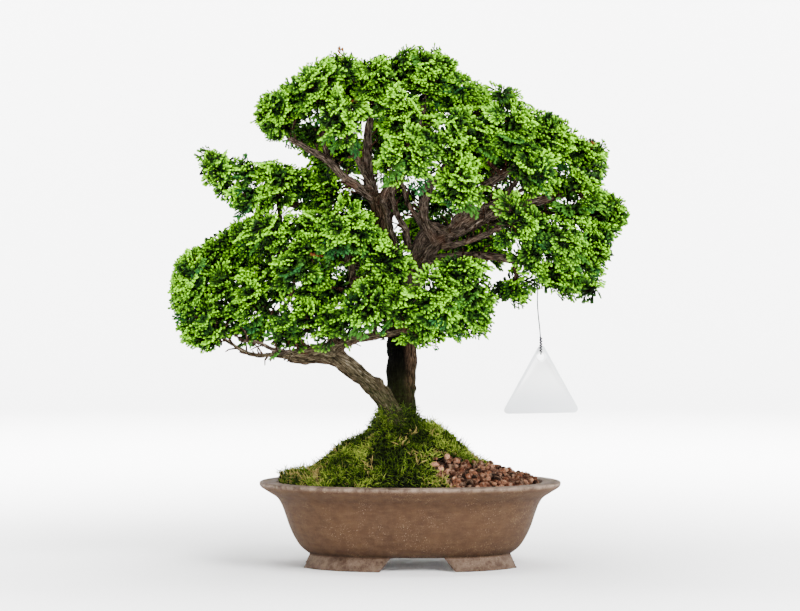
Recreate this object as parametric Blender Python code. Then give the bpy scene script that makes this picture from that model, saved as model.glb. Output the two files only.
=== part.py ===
"""A hinoki cypress bonsai with two trunks in its oval stoneware pot. Millimetres below, metres in Blender."""

import math
import random

import bmesh
import bpy
from mathutils import Matrix, Vector

MM = 0.001
TURN = 2 * math.pi
# Clearance between neighbours, and a little more of it round the wood and the wire, whose facets cut corners.
GAP = 0.3
WOOD_CLEARANCE = 0.35
WIRE_CLEARANCE = 0.4
# All is drawn from the middle of the upright trunk's foot. This brings the middle of the whole over 0.
SHIFT = (-1.5, 1.8)

# Pot: half length of each section in mm with its height, outside then inside. The half width is less by
# POT_OVAL.
POT_X = 9.6
POT_OVAL = 40.0
POT_OUTSIDE = [(96, 12.5), (104, 19), (110.5, 29), (115, 39), (118.2, 48.5), (121.4, 57.5), (126, 65)]
POT_LIP = [(134, 70.5), (141, 75), (142.8, 78), (141, 80.3), (127.5, 80.3), (125, 78.5)]
POT_INSIDE = [(120, 68), (115.5, 58), (110, 46), (104.5, 33), (98.5, 25), (90, 20)]
POT_SIDES = 32
POT_SQUARENESS = 2.25
FOOT_HEIGHT = 13.0
FOOT_HALF = (104.5, 97.0)
FOOT_INNER = 70.0
# Channels between the feet: half width at the ground and at the top. The front one lies off the pot's middle.
CHANNEL_FRONT = (35.0, 24.5)
CHANNEL_FRONT_X = 6.5
CHANNEL_SIDE = (22.0, 16.0)
CHANNEL_REACH = 160.0
# How far a cutter runs past the surface that it cuts through.
OVERCUT = 1.0
DRAIN_X = 46.0
DRAIN_RADIUS = 8.0
DRAIN_SIDES = 12
SCREEN_SIZE = 30.0
SCREEN_THICK = 1.0
SCREEN_HOLES = 3
SCREEN_BAR = 2.2

# Ground: height of the planted surface along the pot, then the edge between moss and gravel from above.
MOUND = [(-116, 84), (-95, 87), (-84, 89.5), (-68, 101), (-57, 111), (-46, 118), (-32, 124), (-20, 146),
         (2, 150), (16, 138), (29, 134), (45, 122), (62, 107), (76, 96), (96, 88), (136, 78)]
MOUND_EDGE = 78.0
COVER_DEPTH = 7.0
GROUND_RINGS = 4
GROUND_BUMP = 2.2
# Heights between which the soil takes the pot's inner sections for its own.
SOIL_SECTIONS = (21.0, 69.0)
GRAVEL_EDGE = [(46, -110), (45, -80), (38, -72), (28, -62), (30, -54), (44, -46), (60, -36), (74, -22),
               (82, 0), (84, 30), (72, 62), (52, 110), (170, 110), (170, -110)]
EDGE_HEIGHTS = (50.0, 180.0)
GRAINS = 22
GRAIN_RADIUS = (3.4, 5.0)
GRAIN_RANGE = ((34, 128), (-76, 70))
GRAIN_APART = 8.4
# How far a grain keeps from the wall of the pot and from the edge of the moss, and how far its middle is raised.
GRAIN_MARGIN = 8.0
GRAIN_PROUD = 0.15

# Wood: each limb as points (x, y, z, radius) in mm. x runs to the right of the photo and y away from it.
STUMP = [(0, 0, 52, 20), (-1, -1, 80, 26), (0, -3, 104, 23), (1, 0, 130, 18)]
ROOT_ENDS = [(-60, -20, 62), (-30, -56, 60), (44, -44, 60), (60, 26, 62), (-20, 54, 62)]
ROOT_START = (0, 0, 92)
ROOT_KNEE = (0.45, 84)
ROOT_RADIUS = (10, 7, 3)
LIMBS = {
    "main": [(2, 6, 104, 18), (2, 6, 133, 15.5), (2, 6, 157, 14.2), (2.5, 6, 185, 13.8), (3, 6, 214, 13.4),
             (2, 6, 247, 12.3), (-4, 6, 279, 10.9), (-11, 4, 304, 9.5), (-17, 2, 328, 8.5), (-22, 0, 349, 7.5)],
    "front": [(0, -12, 112, 13), (-3, -18, 132, 11.5), (-10, -23, 147.5, 9.6), (-18.5, -26, 158.5, 8.8),
              (-30, -29, 170.5, 8.4), (-44, -32, 182.5, 8.4), (-58, -34, 195.5, 8.8), (-73, -36, 202, 8.5),
              (-89, -38, 200, 8), (-103, -40, 200, 6)],
    "front_low": [(-100, -40, 199, 3.8), (-119, -40, 201, 2.6), (-133, -38, 200, 2.4), (-146, -36, 204, 2.2),
                  (-159, -34, 212, 2), (-172, -30, 220, 1.8)],
    "front_up": [(-65, -35, 203, 6.6), (-62, -34, 216, 5.2), (-52, -32, 235, 4.3), (-47, -30, 257, 3.8),
                 (-45, -30, 278, 3.3), (-51, -32, 299, 2.7)],
    "front_right": [(-62, -36, 205, 5.7), (-47, -44, 214, 4.4), (-28, -52, 218, 3.8), (-7, -58, 221, 3.2),
                    (11, -60, 224, 2.7)],
    "front_left": [(-82, -38, 200, 5.7), (-95, -34, 212, 4.2), (-109, -26, 226, 3.8), (-124, -18, 241, 3.2),
                   (-142, -14, 252, 2.8), (-161, -12, 261, 2.3)],
    "left_high": [(-13, 4, 309, 6.6), (-38, 12, 321, 4.8), (-62, 18, 333, 4.2), (-91, 16, 341, 3.6),
                  (-119, 8, 347, 3), (-147, 0, 358, 2.5)],
    "crown_left": [(-21, 0, 344, 5.8), (-36, -4, 356, 4.5), (-52, -8, 367, 4.1), (-68, -10, 384, 3.8),
                   (-87, -8, 395, 3.3), (-106, -4, 406, 2.7)],
    "crown_up": [(-21, 0, 342, 6.2), (-28, 0, 361, 5.4), (-31, 2, 385, 4.7), (-31, 4, 409, 4.1),
                 (-27, 4, 431, 3.5), (-23, 0, 447, 2.8)],
    "crown_right": [(-19, 0, 342, 5.7), (-8, -6, 361, 4.4), (4, -8, 380, 4), (12, -4, 404, 3.6),
                    (21, 0, 431, 3), (25, 2, 450, 2.5)],
    "right": [(3, 8, 233, 10.4), (11, 8, 266, 9), (23, 6, 292, 8), (38, 4, 309, 7.2), (57, 0, 318, 6.4),
              (78, -6, 328, 5.6), (99, -10, 337, 4.8), (123, -12, 343, 4.2), (147, -10, 349, 3.6),
              (169, -6, 356, 2.8)],
    "right_up": [(44, 4, 311, 6.4), (57, 2, 330, 5.4), (68, -4, 349, 4.8), (83, -10, 362, 4.2),
                 (102, -14, 373, 3.6), (123, -14, 386, 3)],
    "right_low": [(19, 6, 285, 6.6), (46, 0, 292, 4.8), (71, -8, 294, 4.2), (94, -14, 292, 3.8),
                  (115, -18, 288, 3.2), (140, -20, 282, 2.4)],
    "inner_up": [(34, 4, 306, 5.7), (25, 0, 323, 4.4), (23, 0, 342, 4), (29, 4, 359, 3.4), (40, 8, 376, 3),
                 (55, 10, 400, 2.5), (65, 8, 424, 2.1)],
    "back_left": [(-2, 6, 262, 6.5), (-22, 24, 276, 5), (-52, 44, 290, 4.2), (-88, 56, 298, 3.4),
                  (-120, 58, 300, 2.6)],
    "back_right": [(10, 8, 272, 6.5), (28, 30, 292, 5), (62, 50, 312, 4.2), (100, 58, 330, 3.2)],
    "back_up": [(-14, 4, 318, 6), (-10, 26, 342, 5), (0, 46, 372, 4.2), (6, 54, 402, 3.4), (4, 52, 424, 2.6)],
}
THICK_LIMBS = ("main", "front")
THICK_SIDES, THIN_SIDES, TWIG_SIDES = 9, 5, 3
FLUTE = 0.07
TWIG_RADIUS = (2.1, 1.3)
# Pads are carried by limbs above this height. A pad whose core a limb passes through needs no twig.
CARRYING_FROM = 195
TWIG_LEAST = 3
TWIG_BEND = 0.07

# Foliage: centre and half size of each pad in mm.
PADS = {
    "upper_left": [((-167, -5, 375), (29, 29, 21)), ((-118, -15, 360), (33, 38, 25)),
                   ((-78, 10, 357), (31, 37, 25))],
    "lower_left": [((-186, -10, 269), (32, 40, 39)), ((-174, -25, 231), (33, 32, 27)),
                   ((-156, 25, 300), (35, 40, 30)), ((-136, -25, 252), (30, 34, 35)),
                   ((-113, -25, 316), (40, 34, 22)), ((-93, -40, 282), (37, 32, 25)),
                   ((-51, -45, 319), (44, 36, 30)), ((-66, -30, 261), (30, 32, 22)),
                   ((-103, -35, 231), (31, 29, 17)), ((-60, -50, 231), (28, 29, 17))],
    "centre": [((-7, -55, 281), (30, 29, 36)), ((-23, -65, 247), (35, 32, 22)), ((23, -70, 252), (40, 32, 30)),
               ((19, -45, 226), (42, 32, 20)), ((54, -50, 275), (31, 32, 25)), ((64, -30, 246), (31, 34, 32))],
    "crown": [((-111, 0, 432), (33, 42, 32)), ((-71, -15, 455), (36, 40, 35)), ((-24, -5, 456), (33, 40, 35)),
              ((22, 0, 463), (37, 44, 34)), ((62, 5, 436), (33, 42, 35)), ((-46, -50, 421), (35, 29, 25)),
              ((0, -55, 419), (35, 29, 30)), ((14, -75, 385), (42, 29, 25)), ((48, -50, 408), (33, 29, 32))],
    "right": [((95, -38, 410), (37, 34, 36)), ((137, -10, 403), (35, 36, 35)), ((176, 5, 385), (30, 36, 30)),
              ((121, -50, 372), (37, 29, 22)), ((164, -25, 360), (31, 29, 20)), ((51, -60, 361), (31, 29, 22)),
              ((188, -5, 337), (30, 32, 27)), ((135, -45, 308), (44, 34, 27)), ((180, -10, 304), (25, 29, 30)),
              ((151, -20, 273), (44, 34, 22)), ((106, -65, 324), (18, 23, 30)), ((81, 20, 302), (31, 29, 20)),
              ((109, 5, 261), (28, 25, 14))],
    "back": [((-128, 62, 312), (37, 36, 29)), ((-66, 64, 306), (37, 34, 26)), ((-62, 56, 402), (37, 36, 31)),
             ((6, 66, 430), (40, 34, 31)), ((70, 62, 394), (37, 36, 31)), ((118, 60, 344), (40, 34, 29)),
             ((34, 72, 316), (37, 29, 23))],
}
CORE = 0.68
CORE_ROUGHNESS = (0.88, 1.12)
# Neighbouring pads are parted where their surfaces come this near, as a share of the distance between them.
NEAR_PADS = 1.35
CELL_SIZE = 200.0
FANS = 7
FAN_LENGTH = (0.5, 0.66)
FAN_WIDTH = (1.0, 1.2)
FAN_THICK = 1.5
FAN_ARCH = 0.1
FAN_SCALES = (1, 0.82, 0.64)
FAN_MARGIN = 1.0
FAN_OUTLINE = [(0.68, -0.5), (0.52, -0.2), (1, 0.04), (0.5, 0.22), (0.76, 0.5)]

# Label: corners of the blank plate in mm, its hole, and the steel wire that hangs it from a twig.
TAG_CORNERS = [(95.5, 144.6), (170.0, 146.0), (133.0, 213.0)]
TAG_Y = -20.0
TAG_THICK = 1.0
TAG_ROUND = 4.0
TAG_ROUND_STEPS = 4
TAG_HOLE = (132.6, 198.6)
TAG_HOLE_RADIUS = 3.4
TAG_HOLE_SIDES = 14
EYELET = (5.0, 1.8)
WIRE_RADIUS = 0.5
WIRE = [(130, -14.6, 279), (130, -14.3, 285), (130, -16.4, 288.4), (130, -19.2, 289.6), (130, -22.2, 288.6),
        (130, -24.4, 285), (129.6, -24.2, 268), (129.2, -24, 247), (131.4, -24, 224), (132.6, -23.4, 207),
        (132.6, -22.2, 201.6), (132.6, -20, 200.6), (132.6, -17.8, 201.6), (132.6, -16.6, 207),
        (132.2, -18.2, 217)]

COLOURS = {
    "pot": (0.235, 0.145, 0.092, 0.85),
    "soil": (0.060, 0.038, 0.024, 0.95),
    "moss": (0.095, 0.120, 0.018, 0.95),
    "gravel": (0.230, 0.095, 0.055, 0.9),
    "wood": (0.105, 0.065, 0.042, 0.9),
    "drain_screen": (0.03, 0.03, 0.03, 0.6),
    "tag": (0.88, 0.88, 0.87, 0.35),
    "tag_wire": (0.30, 0.30, 0.31, 0.4),
    "foliage": (0.075, 0.235, 0.022, 0.7),
}


def clear_scene():
    for obj in list(bpy.data.objects):
        bpy.data.objects.remove(obj)
    for collection in list(bpy.data.collections):
        bpy.data.collections.remove(collection)


def new_collection(name, shown):
    collection = bpy.data.collections.new(name)
    collection.hide_render = not shown
    bpy.context.scene.collection.children.link(collection)
    return collection


def new_object(name, bm, collection):
    bmesh.ops.recalc_face_normals(bm, faces=bm.faces)
    mesh = bpy.data.meshes.new(name)
    bm.to_mesh(mesh)
    bm.free()
    obj = bpy.data.objects.new(name, mesh)
    collection.objects.link(obj)
    return obj


def remove(objects):
    for obj in objects:
        mesh = obj.data
        bpy.data.objects.remove(obj)
        bpy.data.meshes.remove(mesh)


def combine(base, operation, others, keep=False):
    """Applies one Boolean between the base and a collection of the others, and gives the base back."""
    group = bpy.data.collections.new("operands")
    group.hide_render = True
    bpy.context.scene.collection.children.link(group)
    for other in others:
        other.display_type = "WIRE"
        group.objects.link(other)
    modifier = base.modifiers.new("combine", "BOOLEAN")
    modifier.operation = operation
    modifier.operand_type = "COLLECTION"
    modifier.collection = group
    modifier.solver = "MANIFOLD"
    graph = bpy.context.evaluated_depsgraph_get()
    graph.update()
    mesh = bpy.data.meshes.new_from_object(base.evaluated_get(graph))
    base.modifiers.clear()
    old = base.data
    base.data = mesh
    bpy.data.meshes.remove(old)
    bpy.data.collections.remove(group)
    if not keep:
        remove(others)
    return base


def keep_largest(obj):
    """Keeps the largest outer shell, which drops loose scraps and fills sealed hollows."""
    bm = bmesh.new()
    bm.from_mesh(obj.data)
    bmesh.ops.triangulate(bm, faces=bm.faces)
    shells = []
    left = set(bm.faces)
    while left:
        stack = [left.pop()]
        shell = []
        while stack:
            face = stack.pop()
            shell.append(face)
            for edge in face.edges:
                for other in edge.link_faces:
                    if other in left:
                        left.remove(other)
                        stack.append(other)
        volume = 0.0
        for face in shell:
            a, b, c = (vert.co for vert in face.verts)
            volume += a.dot(b.cross(c)) / 6
        shells.append((volume, shell))
    shells.sort(key=lambda entry: entry[0])
    for _, shell in shells[:-1]:
        bmesh.ops.delete(bm, geom=shell, context="FACES")
    bm.to_mesh(obj.data)
    bm.free()


def paint(obj, colour):
    red, green, blue, rough = COLOURS[colour]
    material = bpy.data.materials.new(obj.name)
    material.diffuse_color = (red, green, blue, 1)
    material.use_nodes = True
    shader = material.node_tree.nodes["Principled BSDF"]
    shader.inputs["Base Color"].default_value = (red, green, blue, 1)
    shader.inputs["Roughness"].default_value = rough
    obj.data.materials.clear()
    obj.data.materials.append(material)


def finish(obj, name, colour, collection):
    """Names a node, paints it and moves it from the workshop to the object's collection."""
    keep_largest(obj)
    obj.name = name
    obj.display_type = "TEXTURED"
    for user in list(obj.users_collection):
        user.objects.unlink(obj)
    collection.objects.link(obj)
    paint(obj, colour)


def add_loft(bm, rings):
    """Skins a list of rings of points and caps both ends."""
    loops = [[bm.verts.new(Vector(point) * MM) for point in ring] for ring in rings]
    count = len(loops[0])
    for lower, upper in zip(loops, loops[1:]):
        for i in range(count):
            bm.faces.new((lower[i], lower[(i + 1) % count], upper[(i + 1) % count], upper[i]))
    bm.faces.new(loops[0][::-1])
    bm.faces.new(loops[-1])


def oval(half, z, sides=POT_SIDES, grow=0.0):
    """Ring of points on the pot's oval, whose half length is given."""
    long = half + grow
    short = half - POT_OVAL + grow
    ring = []
    for i in range(sides):
        angle = TURN * i / sides
        c, s = math.cos(angle), math.sin(angle)
        x = long * math.copysign(abs(c) ** (2 / POT_SQUARENESS), c)
        y = short * math.copysign(abs(s) ** (2 / POT_SQUARENESS), s)
        ring.append((POT_X + x, y, z))
    return ring


def box(name, centre, size, workshop):
    bm = bmesh.new()
    matrix = Matrix.Translation(Vector(centre) * MM) @ Matrix.Diagonal((*(Vector(size) * MM), 1))
    bmesh.ops.create_cube(bm, size=1, matrix=matrix)
    return new_object(name, bm, workshop)


def make_drain(side, workshop):
    """Round cutter through the floor of the pot."""
    low, high = POT_OUTSIDE[0][1] - 5 * OVERCUT, POT_INSIDE[-1][1] + 5 * OVERCUT
    bm = bmesh.new()
    matrix = Matrix.Translation(Vector((POT_X + side * DRAIN_X, 0, (low + high) / 2)) * MM)
    bmesh.ops.create_cone(bm, cap_ends=True, segments=DRAIN_SIDES, radius1=DRAIN_RADIUS * MM,
                          radius2=DRAIN_RADIUS * MM, depth=(high - low) * MM, matrix=matrix)
    return new_object("drain", bm, workshop)


def channel(name, halves, offset, along_x, workshop):
    """Trapezoidal tunnel under the pot, wider at the ground, with its middle that far off the pot's."""
    bm = bmesh.new()
    low, high = halves
    low_end = low + OVERCUT
    section = [(-low_end, -OVERCUT), (low_end, -OVERCUT), (high, FOOT_HEIGHT), (-high, FOOT_HEIGHT)]
    rings = []
    for end in (-CHANNEL_REACH, CHANNEL_REACH):
        if along_x:
            rings.append([(POT_X + end, offset + side, z) for side, z in section])
        else:
            rings.append([(POT_X + offset + side, end, z) for side, z in section])
    add_loft(bm, rings)
    return new_object(name, bm, workshop)


def make_pot(workshop):
    bm = bmesh.new()
    profile = POT_OUTSIDE + POT_LIP + POT_INSIDE
    add_loft(bm, [oval(half, z) for half, z in profile])
    body = new_object("pot_body", bm, workshop)
    bm = bmesh.new()
    add_loft(bm, [oval(FOOT_HALF[0], 0), oval(FOOT_HALF[1], FOOT_HEIGHT + OVERCUT)])
    feet = new_object("pot_feet", bm, workshop)
    bm = bmesh.new()
    add_loft(bm, [oval(FOOT_INNER, -OVERCUT), oval(FOOT_INNER, FOOT_HEIGHT)])
    hollow = new_object("pot_hollow", bm, workshop)
    cuts = [hollow, channel("channel_front", CHANNEL_FRONT, CHANNEL_FRONT_X, False, workshop),
            channel("channel_side", CHANNEL_SIDE, 0, True, workshop)]
    combine(feet, "DIFFERENCE", cuts)
    combine(body, "UNION", [feet])
    drains = [make_drain(side, workshop) for side in (-1, 1)]
    return combine(body, "DIFFERENCE", drains)


def make_screen(side, workshop):
    floor = POT_INSIDE[-1][1] + GAP
    centre = (POT_X + side * DRAIN_X, 0, floor + SCREEN_THICK / 2)
    plate = box("screen", centre, (SCREEN_SIZE, SCREEN_SIZE, SCREEN_THICK), workshop)
    pitch = (SCREEN_SIZE - SCREEN_BAR) / (SCREEN_HOLES + 0.2)
    holes = []
    for i in range(SCREEN_HOLES):
        for j in range(SCREEN_HOLES):
            x = centre[0] + (i - (SCREEN_HOLES - 1) / 2) * pitch
            y = (j - (SCREEN_HOLES - 1) / 2) * pitch
            wide = pitch - SCREEN_BAR
            holes.append(box("hole", (x, y, centre[2]), (wide, wide, 3 * SCREEN_THICK), workshop))
    return combine(plate, "DIFFERENCE", holes)


def inner_half(z):
    """Half length of the pot's inside at a height."""
    profile = [POT_LIP[-2], POT_LIP[-1]] + POT_INSIDE
    for (half_a, z_a), (half_b, z_b) in zip(profile, profile[1:]):
        if z_b <= z <= z_a:
            return half_a + (half_b - half_a) * (z - z_a) / (z_b - z_a)
    return profile[0][0] if z > profile[0][1] else profile[-1][0]


def mound_height(x, y):
    along = max(MOUND[0][0], min(MOUND[-1][0], x))
    ridge = MOUND_EDGE
    for (x_a, z_a), (x_b, z_b) in zip(MOUND, MOUND[1:]):
        if x_a <= along <= x_b:
            ridge = z_a + (z_b - z_a) * (along - x_a) / (x_b - x_a)
    long = inner_half(MOUND_EDGE)
    reach = (long - POT_OVAL) * max(0.05, 1 - (abs(x - POT_X) / long) ** 2) ** 0.5
    fall = max(0.0, 1 - (abs(y) / reach) ** 1.5)
    return MOUND_EDGE + (ridge - MOUND_EDGE) * fall


def ground_rings(drop):
    """Rings of the planted surface, from the middle to the pot's wall, lowered by drop."""
    rings = []
    for i in range(1, GROUND_RINGS + 1):
        share = (i / GROUND_RINGS) ** 0.9
        edge = oval(inner_half(MOUND_EDGE - drop), 0, POT_SIDES, -GAP)
        ring = []
        for j, (x, y, _) in enumerate(edge):
            px, py = POT_X + (x - POT_X) * share, y * share
            bump = (1 - share) * GROUND_BUMP * math.sin(2.3 * i + 1.7 * j)
            ring.append((px, py, mound_height(px, py) + bump - drop))
        rings.append(ring)
    return rings


def add_dome(bm, rings):
    """Caps the first ring with a fan, skins the rings and returns the outer loop of vertices."""
    loops = [[bm.verts.new(Vector(point) * MM) for point in ring] for ring in rings]
    middle = bm.verts.new(sum((vert.co for vert in loops[0]), Vector()) / len(loops[0]))
    count = len(loops[0])
    for i in range(count):
        bm.faces.new((middle, loops[0][i], loops[0][(i + 1) % count]))
    for lower, upper in zip(loops, loops[1:]):
        for i in range(count):
            bm.faces.new((lower[i], upper[i], upper[(i + 1) % count], lower[(i + 1) % count]))
    return loops[-1]


def make_soil(workshop):
    bm = bmesh.new()
    edge = add_dome(bm, ground_rings(COVER_DEPTH + GAP))
    lower = [edge]
    for half, z in POT_INSIDE:
        if SOIL_SECTIONS[0] < z < SOIL_SECTIONS[1]:
            lower.append([bm.verts.new(Vector(point) * MM) for point in oval(half, z, POT_SIDES, -GAP)])
    floor = POT_INSIDE[-1][1] + SCREEN_THICK + 2 * GAP
    base = oval(inner_half(floor), floor, POT_SIDES, -GAP)
    lower.append([bm.verts.new(Vector(point) * MM) for point in base])
    for above, under in zip(lower, lower[1:]):
        for i in range(POT_SIDES):
            j = (i + 1) % POT_SIDES
            bm.faces.new((above[i], under[i], under[j], above[j]))
    bm.faces.new(lower[-1])
    return new_object("soil", bm, workshop)


def make_cover(workshop):
    """Layer over the soil, later parted into moss and gravel."""
    bm = bmesh.new()
    top = add_dome(bm, ground_rings(0))
    bottom = add_dome(bm, ground_rings(COVER_DEPTH))
    for i in range(POT_SIDES):
        j = (i + 1) % POT_SIDES
        bm.faces.new((top[i], bottom[i], bottom[j], top[j]))
    return new_object("cover", bm, workshop)


def make_edge_prism(shift, workshop):
    bm = bmesh.new()
    add_loft(bm, [[(x + shift, y, z) for x, y in GRAVEL_EDGE] for z in EDGE_HEIGHTS])
    return new_object("edge", bm, workshop)


def moss_reaches(y):
    """How far right the moss comes at a y."""
    for (x_a, y_a), (x_b, y_b) in zip(GRAVEL_EDGE, GRAVEL_EDGE[1:]):
        if y_a <= y <= y_b:
            return x_a + (x_b - x_a) * (y - y_a) / (y_b - y_a)
    return POT_X


def make_grains(workshop):
    """Grains half sunk in the gravel bed, in a seeded scatter."""
    rng = random.Random(12)
    grains = []
    places = []
    long = inner_half(MOUND_EDGE) - GRAIN_MARGIN
    while len(grains) < GRAINS:
        x, y = (rng.uniform(*span) for span in GRAIN_RANGE)
        inside = ((x - POT_X) / long) ** 2 + (y / (long - POT_OVAL)) ** 2 < 1
        beyond = x > max(moss_reaches(y + step) for step in (-GRAIN_MARGIN, 0, GRAIN_MARGIN)) + GRAIN_MARGIN
        apart = all(math.dist((x, y), place) > GRAIN_APART for place in places)
        if not (inside and beyond and apart):
            continue
        places.append((x, y))
        radius = rng.uniform(*GRAIN_RADIUS)
        bm = bmesh.new()
        turn = Matrix.Rotation(rng.uniform(0, TURN), 4, "Z") @ Matrix.Rotation(rng.uniform(0, TURN), 4, "X")
        squash = Matrix.Diagonal((1, rng.uniform(0.7, 1), rng.uniform(0.65, 0.9), 1))
        place = Matrix.Translation(Vector((x, y, mound_height(x, y) + radius * GRAIN_PROUD)) * MM)
        bmesh.ops.create_icosphere(bm, subdivisions=1, radius=radius * MM, matrix=place @ squash @ turn)
        grains.append(new_object("grain", bm, workshop))
    return grains


def make_tube(name, path, sides, workshop, grow=0.0):
    """Tapered tube along points (x, y, z, radius), slightly fluted, its ends capped flat."""
    points = [Vector(point[:3]) for point in path]
    radii = [point[3] for point in path]
    tangents = []
    for i in range(len(points)):
        tangents.append((points[min(i + 1, len(points) - 1)] - points[max(i - 1, 0)]).normalized())
    points[0] = points[0] - tangents[0] * grow
    points[-1] = points[-1] + tangents[-1] * grow
    side = tangents[0].orthogonal().normalized()
    rings = []
    for i, (point, tangent) in enumerate(zip(points, tangents)):
        side = (side - tangent * side.dot(tangent)).normalized()
        other = tangent.cross(side)
        ring = []
        for j in range(sides):
            angle = TURN * j / sides
            radius = radii[i] * (1 + FLUTE * math.sin(3 * angle + 0.8 * i)) + grow
            ring.append(point + side * radius * math.cos(angle) + other * radius * math.sin(angle))
        rings.append(ring)
    bm = bmesh.new()
    add_loft(bm, rings)
    bmesh.ops.triangulate(bm, faces=bm.faces, quad_method="FIXED")
    return new_object(name, bm, workshop)


def nearest_on_limbs(target):
    """Point of a limb's centre line nearest to a target, with the limb's radius there."""
    best = None
    for path in LIMBS.values():
        for a, b in zip(path, path[1:]):
            start, along = Vector(a[:3]), Vector(b[:3]) - Vector(a[:3])
            share = max(0.0, min(1.0, (target - start).dot(along) / along.length_squared))
            point = start + along * share
            distance = (point - target).length
            if point.z > CARRYING_FROM and (best is None or distance < best[0]):
                best = (distance, point, a[3] + (b[3] - a[3]) * share)
    return best


def twig_paths():
    """Twig from the nearest limb into the core of every pad that no limb already fills."""
    rng = random.Random(5)
    paths = []
    for pads in PADS.values():
        for centre, half in pads:
            target = Vector(centre) - Vector((0, 0, half[2] * 0.1))
            distance, start, radius = nearest_on_limbs(target)
            if distance < radius + TWIG_LEAST:
                continue
            bend = Vector((rng.uniform(-1, 1), rng.uniform(-1, 1), rng.uniform(-1.5, 0.5)))
            bend *= distance * TWIG_BEND
            thick = min(TWIG_RADIUS[0], radius * 0.8)
            paths.append([(*start, thick), (*(target + bend), TWIG_RADIUS[1])])
    return paths


def make_wood(name, grow, workshop):
    """Both trunks, their roots, limbs and twigs in one piece, grown all over by grow."""
    tubes = [make_tube("stump", STUMP, THICK_SIDES, workshop, grow)]
    for x, y, z in ROOT_ENDS:
        share, height = ROOT_KNEE
        knots = (ROOT_START, (x * share, y * share, height), (x, y, z))
        path = [(*knot, radius) for knot, radius in zip(knots, ROOT_RADIUS)]
        tubes.append(make_tube("root", path, THIN_SIDES, workshop, grow))
    for limb, path in LIMBS.items():
        tubes.append(make_tube(limb, path, THICK_SIDES if limb in THICK_LIMBS else THIN_SIDES, workshop, grow))
    for path in twig_paths():
        tubes.append(make_tube("twig", path, TWIG_SIDES, workshop, grow))
    wood = combine(tubes[0], "UNION", tubes[1:])
    wood.name = name
    keep_largest(wood)
    return wood


def grow_fan(bm, face, centre, half, planes, rng):
    """Draws a lobed, arched blade out of one face of the core, short enough to stay in the pad's cell."""
    low = min(face.verts, key=lambda vert: vert.co.z)
    order = list(face.verts)
    k = order.index(low)
    left, right = order[(k + 1) % 3], order[(k + 2) % 3]
    middle = face.calc_center_median()
    ahead = middle.normalized()
    side = right.co - left.co
    side = (side - ahead * side.dot(ahead)).normalized()
    normal = side.cross(ahead)
    if normal.dot(low.co - middle) > 0:
        normal.negate()
    length, width = rng.uniform(*FAN_LENGTH), rng.uniform(*FAN_WIDTH)
    for scale in FAN_SCALES:
        spine = []
        for u, v in FAN_OUTLINE:
            point = middle + (ahead * length * u + side * width * v - normal * FAN_ARCH * u * u) * scale
            spine.append(Vector([centre[k] + point[k] * half[k] for k in range(3)]))
        if all((point - place).dot(facing) < -FAN_MARGIN for place, facing in planes for point in spine):
            break
    else:
        return
    lift = Vector([normal[k] / half[k] for k in range(3)]).normalized() * FAN_THICK / 2
    layers = []
    for offset in (lift, -lift):
        layer = []
        for point in spine:
            local = Vector([(point[k] + offset[k] - centre[k]) / half[k] for k in range(3)])
            layer.append(bm.verts.new(local))
        layers.append(layer)
    top, under = layers
    bm.faces.new((left, top[0], top[1]))
    bm.faces.new((left, top[1], top[3], right))
    bm.faces.new((top[1], top[2], top[3]))
    bm.faces.new((top[3], top[4], right))
    bm.faces.new((low, under[1], under[0]))
    bm.faces.new((low, under[3], under[1]))
    bm.faces.new((under[1], under[3], under[2]))
    bm.faces.new((low, under[4], under[3]))
    bm.faces.new((left, low, under[0], top[0]))
    bm.faces.new((right, top[4], under[4], low))
    for i in range(4):
        bm.faces.new((top[i], under[i], under[i + 1], top[i + 1]))
    bm.faces.remove(face)


def cell_planes(centre, half, pads):
    """Planes, as (point, direction), that keep a pad clear of its neighbours."""
    planes = []
    for other, other_half in pads:
        apart = Vector(other) - centre
        if not apart.length:
            continue
        ahead = apart.normalized()
        mine = 1 / Vector([ahead[k] / half[k] for k in range(3)]).length
        theirs = 1 / Vector([ahead[k] / other_half[k] for k in range(3)]).length
        if apart.length > NEAR_PADS * (mine + theirs):
            continue
        planes.append((centre + ahead * (apart.length * mine / (mine + theirs) - GAP / 2), ahead))
    return planes


def make_cell(centre, planes, workshop):
    """Convex cell bounded by the planes."""
    bm = bmesh.new()
    matrix = Matrix.Translation(centre * MM) @ Matrix.Scale(CELL_SIZE * MM, 4)
    bmesh.ops.create_cube(bm, size=1, matrix=matrix)
    for place, ahead in planes:
        geometry = list(bm.verts) + list(bm.edges) + list(bm.faces)
        cut = bmesh.ops.bisect_plane(bm, geom=geometry, plane_co=place * MM, plane_no=ahead, clear_outer=True)
        edges = [item for item in cut["geom_cut"] if isinstance(item, bmesh.types.BMEdge)]
        bmesh.ops.holes_fill(bm, edges=edges)
    return new_object("cell", bm, workshop)


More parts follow.
